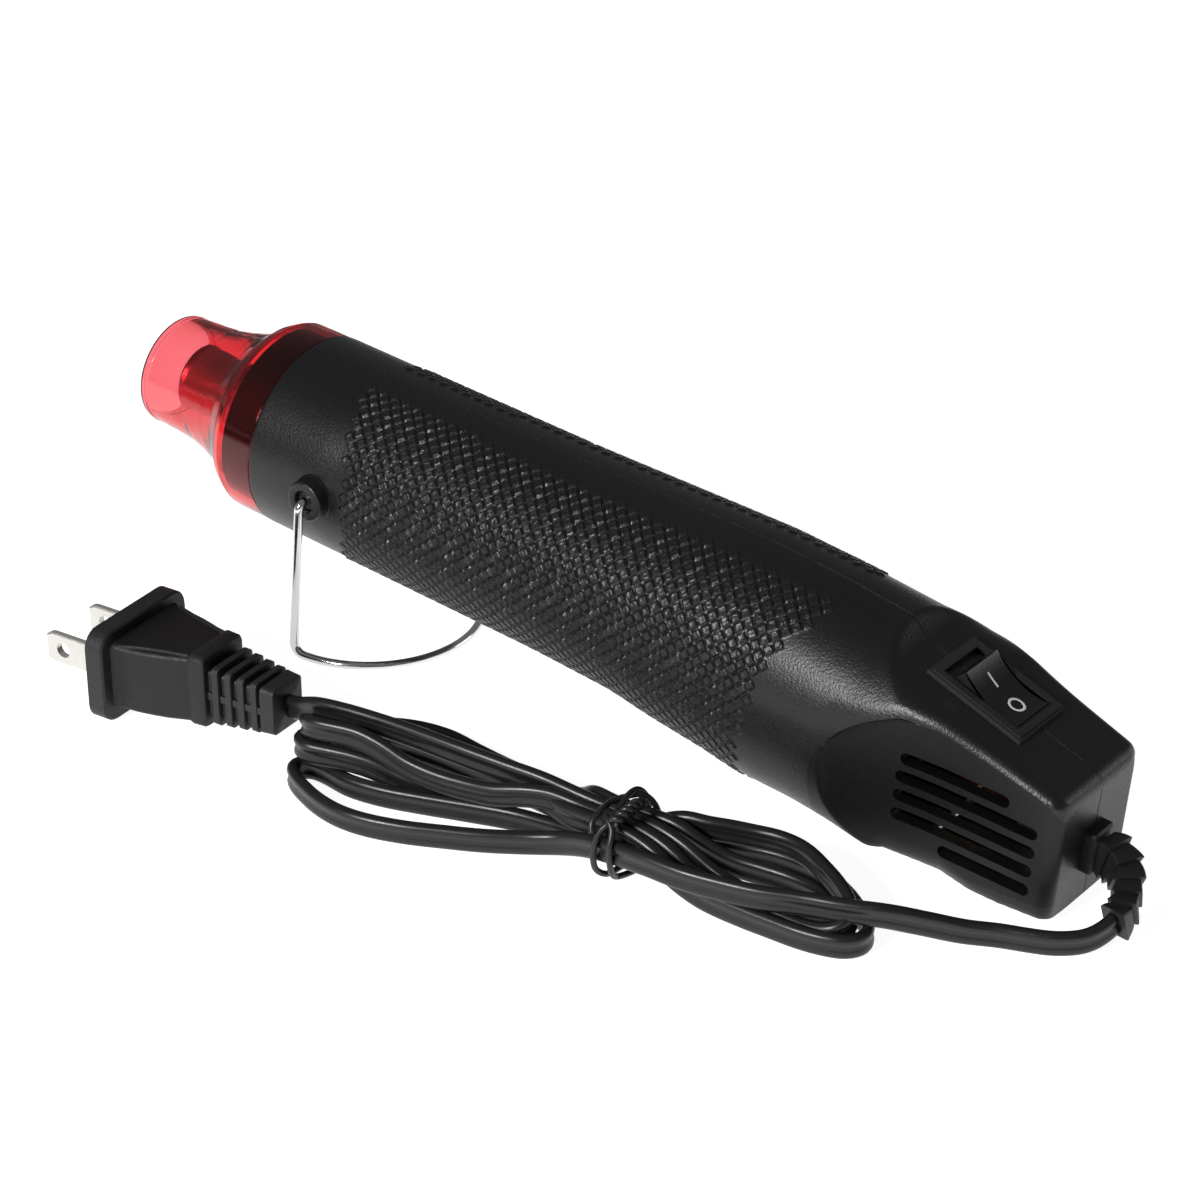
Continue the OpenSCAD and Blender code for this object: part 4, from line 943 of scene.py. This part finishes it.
print("marching the housing's skin")
sx, sa, sr, sc = skin_rows()
sy = np.maximum(sr * np.cos(sa), 0.0)
sz = sc + sr * np.sin(sa)
rise = knurl(sx, np.arctan2(sz, sy))
reach = np.hypot(sy, sz)
sy = sy * (reach + rise) / reach
sz = sz * (reach + rise) / reach
# a thin groove along the joint between the halves
groove = JOINT_DEPTH * np.clip(1 - sy / JOINT_HALF_W, 0, 1)
sz -= np.sign(sz) * np.where(sx < 180, groove, groove * 0.6)


def snap_hole(x, z, hole):
    """Signed distance to a hole's outline and its direction, seen from the side."""
    x0, x1, zc, r = hole
    dx, dz = x - np.clip(x, x0, x1), z - zc
    length = np.maximum(np.hypot(dx, dz), 1e-6)
    return length - r, dx / length, dz / length


# Depths of a hole's wall below the skin, its draw per mm, and its floor
SLOT_WALL = ((0.25, 1.2, 2.4), 0.10, 0.0)
WELL_WALL = ((0.3, 3.0, 99.0), 0.0, 8.0)
WELL_R = 2.5
BOSS_STEP, BOSS_FLOOR = 21.9, 21.5
NOSE_LIP = ((0.0, 19.2), (0.0, 18.25), (0.3, 18.06), (4.0, 18.05))


def shell_half(side):
    """Points and faces of one half: skin, slots, screw wells, end faces and boss."""
    rows, cols = sx.shape
    x, y, z = sx.ravel().copy(), sy.ravel().copy(), sz.ravel().copy()
    faces = grid_faces(rows, cols)
    r = SLOT_H / 2
    holes = [((x0 + r, x1 - r, zc, r), SLOT_WALL) for zc, x0, x1 in SLOTS]
    if side > 0:
        holes += [((xc, xc, zc, WELL_R), WELL_WALL) for xc, zc in SCREWS]
    # the scooped panel is satin, the rest grained
    column = (faces % cols).min(axis=1)
    fx = x[faces[:, 0]]
    look = ((column >= UPPER_N - 1) & (fx > 135.6)
            & (y[faces].max(axis=1) < np.interp(fx, *np.array(SCOOP_P).T) + 0.25)
            & (z[faces].mean(axis=1) > -smooth_table(fx, LOW_Z) + 4.2)).astype(int)
    keep = np.ones(len(faces), bool)
    walls, wall_quads, tris = [], [], []
    extra = rows * cols
    for hole, (levels, draw, floor) in holes:
        d, nx, nz = snap_hole(x, z, hole)
        gone = (d[faces].mean(axis=1) < 0) & keep & (y[faces].min(axis=1) > 3)
        gone_faces = faces[gone]
        keep &= ~gone
        edges = np.vstack([gone_faces[:, [k, (k + 1) % 4]] for k in range(4)])
        key = np.sort(edges, axis=1)
        _, index, counts = np.unique(key, axis=0, return_index=True, return_counts=True)
        rim = edges[index[counts == 1]]
        verts = np.unique(rim)
        x[verts] -= d[verts] * nx[verts]
        z[verts] -= d[verts] * nz[verts]
        y[verts] = skin_y(x[verts], z[verts])
        last = {v: v for v in verts}
        for level in levels:
            _, ux, uz = snap_hole(x[verts], z[verts], hole)
            k = min(level, 1.0) * draw
            walls.append(np.column_stack([
                x[verts] - ux * k, np.maximum(y[verts] - level, floor), z[verts] - uz * k
            ]))
            here = {v: extra + i for i, v in enumerate(verts)}
            extra += len(verts)
            wall_quads += [(last[a], last[b], here[b], here[a]) for a, b in rim]
            last = here
        if floor:
            walls.append(np.array([[hole[0], floor, hole[2]]]))
            tris += [(last[b], last[a], extra) for a, b in rim]
            extra += 1
    points = np.column_stack([x, y, z])
    # the tail face, drawn in row by row to the joint
    ring = points.reshape(rows, cols, 3)[-1]
    shares = np.concatenate([np.linspace(0, 0.9, 14)[1:], [0.985, 1.0]])
    cap = np.repeat(ring[None], len(shares), axis=0)
    cap[:, :, 1] *= 1 - shares[:, None]
    cap[:, :, 0] = BODY_LEN
    cap[-1, :, 0] -= 0.15
    first_cap = extra
    cap_quads = [grid_faces(len(cap), cols, offset=first_cap)]
    j = np.arange(cols - 1)
    a = (rows - 1) * cols + j
    cap_quads.append(np.column_stack([a, a + 1, first_cap + j + 1, first_cap + j]))
    extra += len(cap) * cols
    # the nose edge, turned in to the guard's seat
    nose = points.reshape(rows, cols, 3)[0]
    turned = np.array([np.insert(unit(nose[:, 1:]) * r, 0, x, axis=1) for x, r in NOSE_LIP])
    nose_quads = [grid_faces(len(turned), cols, offset=extra)]
    nose_quads.append(np.column_stack([j + 1, j, extra + j, extra + j + 1]))
    all_points = np.vstack([points] + walls + [cap.reshape(-1, 3), turned.reshape(-1, 3)])
    quads = np.vstack([faces[keep], wall_quads] + cap_quads + nose_quads)
    parts = np.zeros(len(quads), int)
    parts[:keep.sum()] = look[keep]
    parts[keep.sum():][:len(wall_quads)] = 1
    # boss for the stand's pin, hollowed, with a notch where the wire leaves it
    profile = rounded_line(
        [(18.4, 5.3), (20.3, 4.35), (BOSS_Y, BOSS_R), (BOSS_Y, 2.3), (BOSS_FLOOR, 2.2),
         (BOSS_FLOOR, 0.0)],
        [1.0, 0.5, 0.25, 0.2])
    boss_rows = lathe(profile, 72)
    q = boss_rows.reshape(-1, 3)
    toward = math.atan2(-1, -0.14)
    off = np.abs((np.arctan2(q[:, 2], q[:, 1]) - toward + math.pi) % (2 * math.pi) - math.pi)
    rr = np.hypot(q[:, 1], q[:, 2])
    notch = (off * rr < 1.15) & (rr > 1.0) & (q[:, 0] > BOSS_STEP)
    boss = np.column_stack([PIVOT_X + q[:, 1], np.where(notch, BOSS_STEP, q[:, 0]), q[:, 2]])
    boss_quads = grid_faces(len(boss_rows), 72, wrap=True, offset=len(all_points))
    half = Shape()
    half.add(np.vstack([all_points, boss]) * (1, side, 1), np.vstack([quads, boss_quads]), tris)
    return half, np.concatenate([parts, np.zeros(len(boss_quads), int), np.ones(len(tris), int)])


for side, name, node in ((-1, "near_shell", "left_shell"), (1, "far_shell", "right_shell")):
    half, parts = shell_half(side)
    build(name, half, tool, "housing", "shell_plastic", [node], 32,
          [looks["shell_plastic"], looks["shell_satin"]], parts)


# Nozzle guard: clear red, its wall open right through, with a spigot in the housing

guard_outer = rounded_line(
    [(4.9, 18.0), (0.02, 18.0), (0.02, 20.05), (-8.6, 20.05), (-10.6, 19.1), (-12.4, 17.1),
     (-14.6, 15.75), (-17.6, 14.55), (-21.5, 13.3), (-25.5, 12.35), (-30.0, 11.9), (-35.9, 11.6),
     (-36.15, 11.25), (-36.45, 11.25), (-36.7, 11.65), (-37.97, 11.55), (-37.97, 10.2),
     (-36.6, 9.9), (-30.5, 10.3)],
    [0.1, 0.3, 1.0, 1.2, 1.6, 3.5, 6.0, 9.0, 9.0, 9.0, 0.3, 0.1, 0.1, 0.2, 0.4, 0.4, 0.5], 5)
guard_inner = rounded_line(
    [(-30.5, 10.3), (-26.0, 10.7), (-22.0, 11.6), (-18.0, 12.8), (-15.0, 14.0), (-12.6, 15.5),
     (-10.4, 17.5), (-8.9, 18.45), (-1.0, 18.45), (1.0, 16.4), (4.9, 16.4), (4.9, 18.0)],
    [8, 8, 8, 6, 4, 2.5, 1, 0.8, 0.8, 0.05], 5)
guard = Shape()
guard.grid(lathe(np.vstack([guard_outer, guard_inner[1:]]), 144), wrap=True)
# the moulded mouth droops a little
profile_points = guard.points[0]
profile_points[:, 2] -= np.interp(-profile_points[:, 0], [22, 28, 33, 38], [0, 0.08, 0.18, 0.28])
build("clear_guard", guard, tool, "housing", "clear_red", ["nozzle_guard"], 50)


# Dark plate behind the guard, with the ring that lines its collar

liner = Shape()
liner.grid(lathe(rounded_line(
    [(5.5, 6.95), (5.5, 14.8), (-8.3, 14.8), (-8.3, 18.25), (-1.3, 18.25), (0.6, 16.2), (5.3, 16.2),
     (5.5, 17.9), (7.5, 17.9), (7.5, 6.95), (5.5, 6.95)],
    [0.2, 0.4, 0.3, 0.3, 0.3, 0.2, 0.05, 0.2, 0.2], 4), 96), wrap=True)
build("collar_liner", liner, tool, "housing", "black_resin", ["nozzle_plate"], 35)


# Steel nozzle: drawn tube with a rolled lip, flared into the heater's barrel

tube_outer = rounded_line(
    [(54, 14.0), (16.0, 14.0), (9.5, 6.9), (-29.6, 6.8), (-30.4, 7.15), (-31.0, 6.9), (-30.8, 6.35),
     (-29.8, 6.3), (9.0, 6.3), (15.7, 13.5), (54, 13.5)],
    [3, 3, 0.5, 0.3, 0.25, 0.2, 0.3, 2.5, 2.5], 5)
tube = Shape()
tube.grid(lathe(tube_outer, 96), wrap=True)
build("drawn_nozzle", tube, tool, "housing", "nozzle_steel", ["nozzle_tube"], 40)


# Wire stand: one bent wire

PIN_Y, ARC_GAP, ARC_POINTS = 19.4, 0.14, 90
PIN_BEND, HEEL_BEND = 1.5, 2.2


def stand_leg(side):
    """Pin's inner end, its bend at the top, and the heel where the foot begins."""
    x, z = PIVOT_BENCH
    return [(x, side * PIN_Y, z), (x, side * LEG_Y, z), (FOOT_X, side * FOOT_Y, WIRE_R)]


arc_r = math.hypot(FOOT_Y, FOOT_X - FOOT_ARC)
arc_a = math.atan2(FOOT_Y, FOOT_X - FOOT_ARC) - ARC_GAP
arc = [(FOOT_ARC + arc_r * math.cos(a), arc_r * math.sin(a), WIRE_R)
       for a in np.linspace(-arc_a, arc_a, ARC_POINTS)]
left_leg = filleted(stand_leg(-1) + arc[:1], [PIN_BEND, HEEL_BEND])
right_leg = filleted(arc[-1:] + stand_leg(1)[::-1], [HEEL_BEND, PIN_BEND])
wire = Shape()
wire.solid(sweep(even(np.vstack([left_leg[:-1], arc, right_leg[1:]]), 0.5),
                 round_section(WIRE_R, 24)))
build("bent_wire", wire, bench, "stand", "stand_wire", ["wire_stand"])


# Switch: bevelled bezel and dished rocker

def bezel_ring(half_x, half_y, grow, r, z):
    return np.insert(rounded_rect(half_x + grow, half_y + grow, r, 4), 2, z, axis=1)


outer_half, open_half = (RIM_L / 2, RIM_W / 2), (OPEN_L / 2, OPEN_W / 2)
bezel = Shape()
bezel.grid([bezel_ring(*half, grow, r, z) for half, grow, r, z in (
    (outer_half, -0.15, 0.3, -0.35), (outer_half, 0, 0.35, -0.05), (outer_half, 0, 0.35, 0.25),
    (outer_half, -0.15, 0.35, 0.38), (open_half, 0.50, 0.4, 1.2), (open_half, 0.35, 0.4, RIM_T),
    (open_half, 0.15, 0.4, RIM_T), (open_half, 0, 0.4, RIM_T - 0.15), (open_half, 0, 0.4, -3.0),
    (open_half, 0, 0.4, -10.8)
)], wrap=True)
build("switch_bezel", bezel, switch, "housing", "switch_black", [], 30)


def rocked(points):
    """Rocker frame in mm, tipped to OFF, to the row frame in metres."""
    return switch(pitched(points, ROCK, 0.0, ROCK_DROP))


# the dish runs from the raised end, marked with a line, to the pressed end, marked with a ring
HALF_B = (OPEN_W - 0.5) / 2
RAISED_X, PRESSED_X, DISH_LOW = -5.55, 7.50, 0.9


def dish(x):
    x = np.asarray(x, float)
    return 1.9 + np.where(x < DISH_LOW, 1.25, 1.70) * ((x - DISH_LOW) / 6.55) ** 2


face_x = np.linspace(RAISED_X, PRESSED_X, 61)
outline = np.vstack([
    [(-6.5, 0.0), (-6.1, 1.5), (-5.65, 2.9)], np.column_stack([face_x, dish(face_x)]),
    [(7.75, 3.3), (7.9, 1.5), (8.0, 0.0), (7.6, -1.4), (3.0, -2.8), (-3.0, -2.8), (-6.6, -1.4)]
])
FACE_POINTS = slice(3, 64)
rows = []
for y, drop in ((-HALF_B, 0.30), (-HALF_B + 0.1, 0.10), (-HALF_B + 0.3, 0.0), (-HALF_B / 2, 0.0),
                (0.0, 0.0), (HALF_B / 2, 0.0), (HALF_B - 0.3, 0.0), (HALF_B - 0.1, 0.10),
                (HALF_B, 0.30)):
    ring = outline.copy()
    ring[FACE_POINTS, 1] -= drop
    rows.append(np.insert(ring, 1, y, axis=1))
rocker = Shape()
rocker.solid(rows)
build("rocker_face", rocker, rocked, "rocker", "switch_gloss", ["switch_rocker"], 24)

# a raised line and ring
MARK_LIFT = (0.0, 0.04, 0.04, 0.0)
marks = Shape()
line_x = np.linspace(-3.45, -0.35, 15)
marks.grid([np.column_stack([line_x, np.full(15, y), dish(line_x) + lift])
            for y, lift in zip((-0.24, -0.18, 0.18, 0.24), MARK_LIFT)])
a = np.arange(56) * 2 * math.pi / 56
marks.grid([np.column_stack([4.2 + r * np.cos(a), r * np.sin(a), dish(4.2 + r * np.cos(a)) + lift])
            for r, lift in zip((1.16, 1.22, 1.60, 1.66), MARK_LIFT)], wrap=True)
build("rocker_marks", marks, rocked, "rocker", "switch_gloss", [], 60, [looks["mark_white"]])


# Stage: a white ground that keeps its shadow, and soft studio light

GROUND, TABLE_EDGE = 4.0, (0.25, 0.45)
ground_material = bpy.data.materials.new("ground")
ground_material.use_nodes = True
gtree = ground_material.node_tree
gtree.nodes.clear()
ray = add(gtree, "LightPath").outputs
plain = add(gtree, "BsdfDiffuse", Color=(0.80, 0.80, 0.80, 1)).outputs[0]
glow, haze, gloom = (add(gtree, "Emission", Strength=k).outputs[0] for k in (0.90, 0.70, 0.10))
lit, hazed = joined(gtree, "AddShader", plain, glow), joined(gtree, "AddShader", plain, haze)
direct = joined(gtree, "Math", ray["Is Camera Ray"], ray["Is Transmission Ray"],
                operation="MAXIMUM")
mirrored = joined(gtree, "MixShader", ray["Is Glossy Ray"], plain, hazed)
seen = joined(gtree, "MixShader", direct, mirrored, lit)
# the white table ends: reflections and the clear guard find gloom further out
away = add(gtree, "VectorMath", operation="LENGTH", Vector=object_place(gtree)).outputs["Value"]
table_top = ramp(gtree, away, *TABLE_EDGE, 1.0, 0.0)
endless = joined(gtree, "Math", ray["Is Camera Ray"], ray["Is Diffuse Ray"], operation="MAXIMUM")
on_table = joined(gtree, "Math", endless, table_top, operation="MAXIMUM")
add(gtree, "OutputMaterial", Surface=joined(gtree, "MixShader", on_table, gloom, seen))
ground_mesh = bpy.data.meshes.new("ground")
corners = ((-1, -1), (1, -1), (1, 1), (-1, 1))
ground_mesh.from_pydata([(GROUND * i, GROUND * j, 0) for i, j in corners], [], [(0, 1, 2, 3)])
ground_mesh.materials.append(ground_material)
ground_obj = link_object("ground", ground_mesh)

world = bpy.data.worlds.new("studio")
bpy.context.scene.world = world
world.use_nodes = True
wtree = world.node_tree
# a dark room over a pale horizon; the camera itself sees white
towards = add(wtree, "TexCoord").outputs["Generated"]
height = add(wtree, "SeparateXYZ", Vector=towards).outputs["Z"]
room = colours(wtree, ramp(wtree, height, -1.0, 1.0, 0.0, 1.0), [
    (0.0, (0.9, 0.9, 0.9)), (0.47, (0.7, 0.7, 0.7)), (0.53, (0.12, 0.125, 0.13)),
    (0.62, (0.14, 0.145, 0.15)), (0.75, (0.14, 0.145, 0.15)), (1.0, (0.13, 0.135, 0.14))
])
sky = add(wtree, "Mix", data_type="RGBA", Factor=add(wtree, "LightPath").outputs["Is Camera Ray"],
          A=room, B=(1, 1, 1, 1)).outputs["Result"]
feed(wtree, wtree.nodes["Background"], Color=sky)


def area_light(name, at, aim, size_x, size_y, power):
    data = bpy.data.lights.new(name, "AREA")
    data.shape = "RECTANGLE"
    data.size, data.size_y = size_x, size_y
    data.energy = power
    light = link_object(name, data)
    light.location = at
    light.rotation_euler = (Vector(aim) - Vector(at)).to_track_quat("-Z", "Y").to_euler()


area_light("softbox", (-0.12, -1.10, 0.60), (0, 0, 0.03), 0.30, 0.30, 12.5)
area_light("back", (0.75, 0.90, 0.22), (0.05, 0, 0.03), 0.5, 0.25, 0.9)

bpy.context.scene.view_settings.view_transform = "Standard"
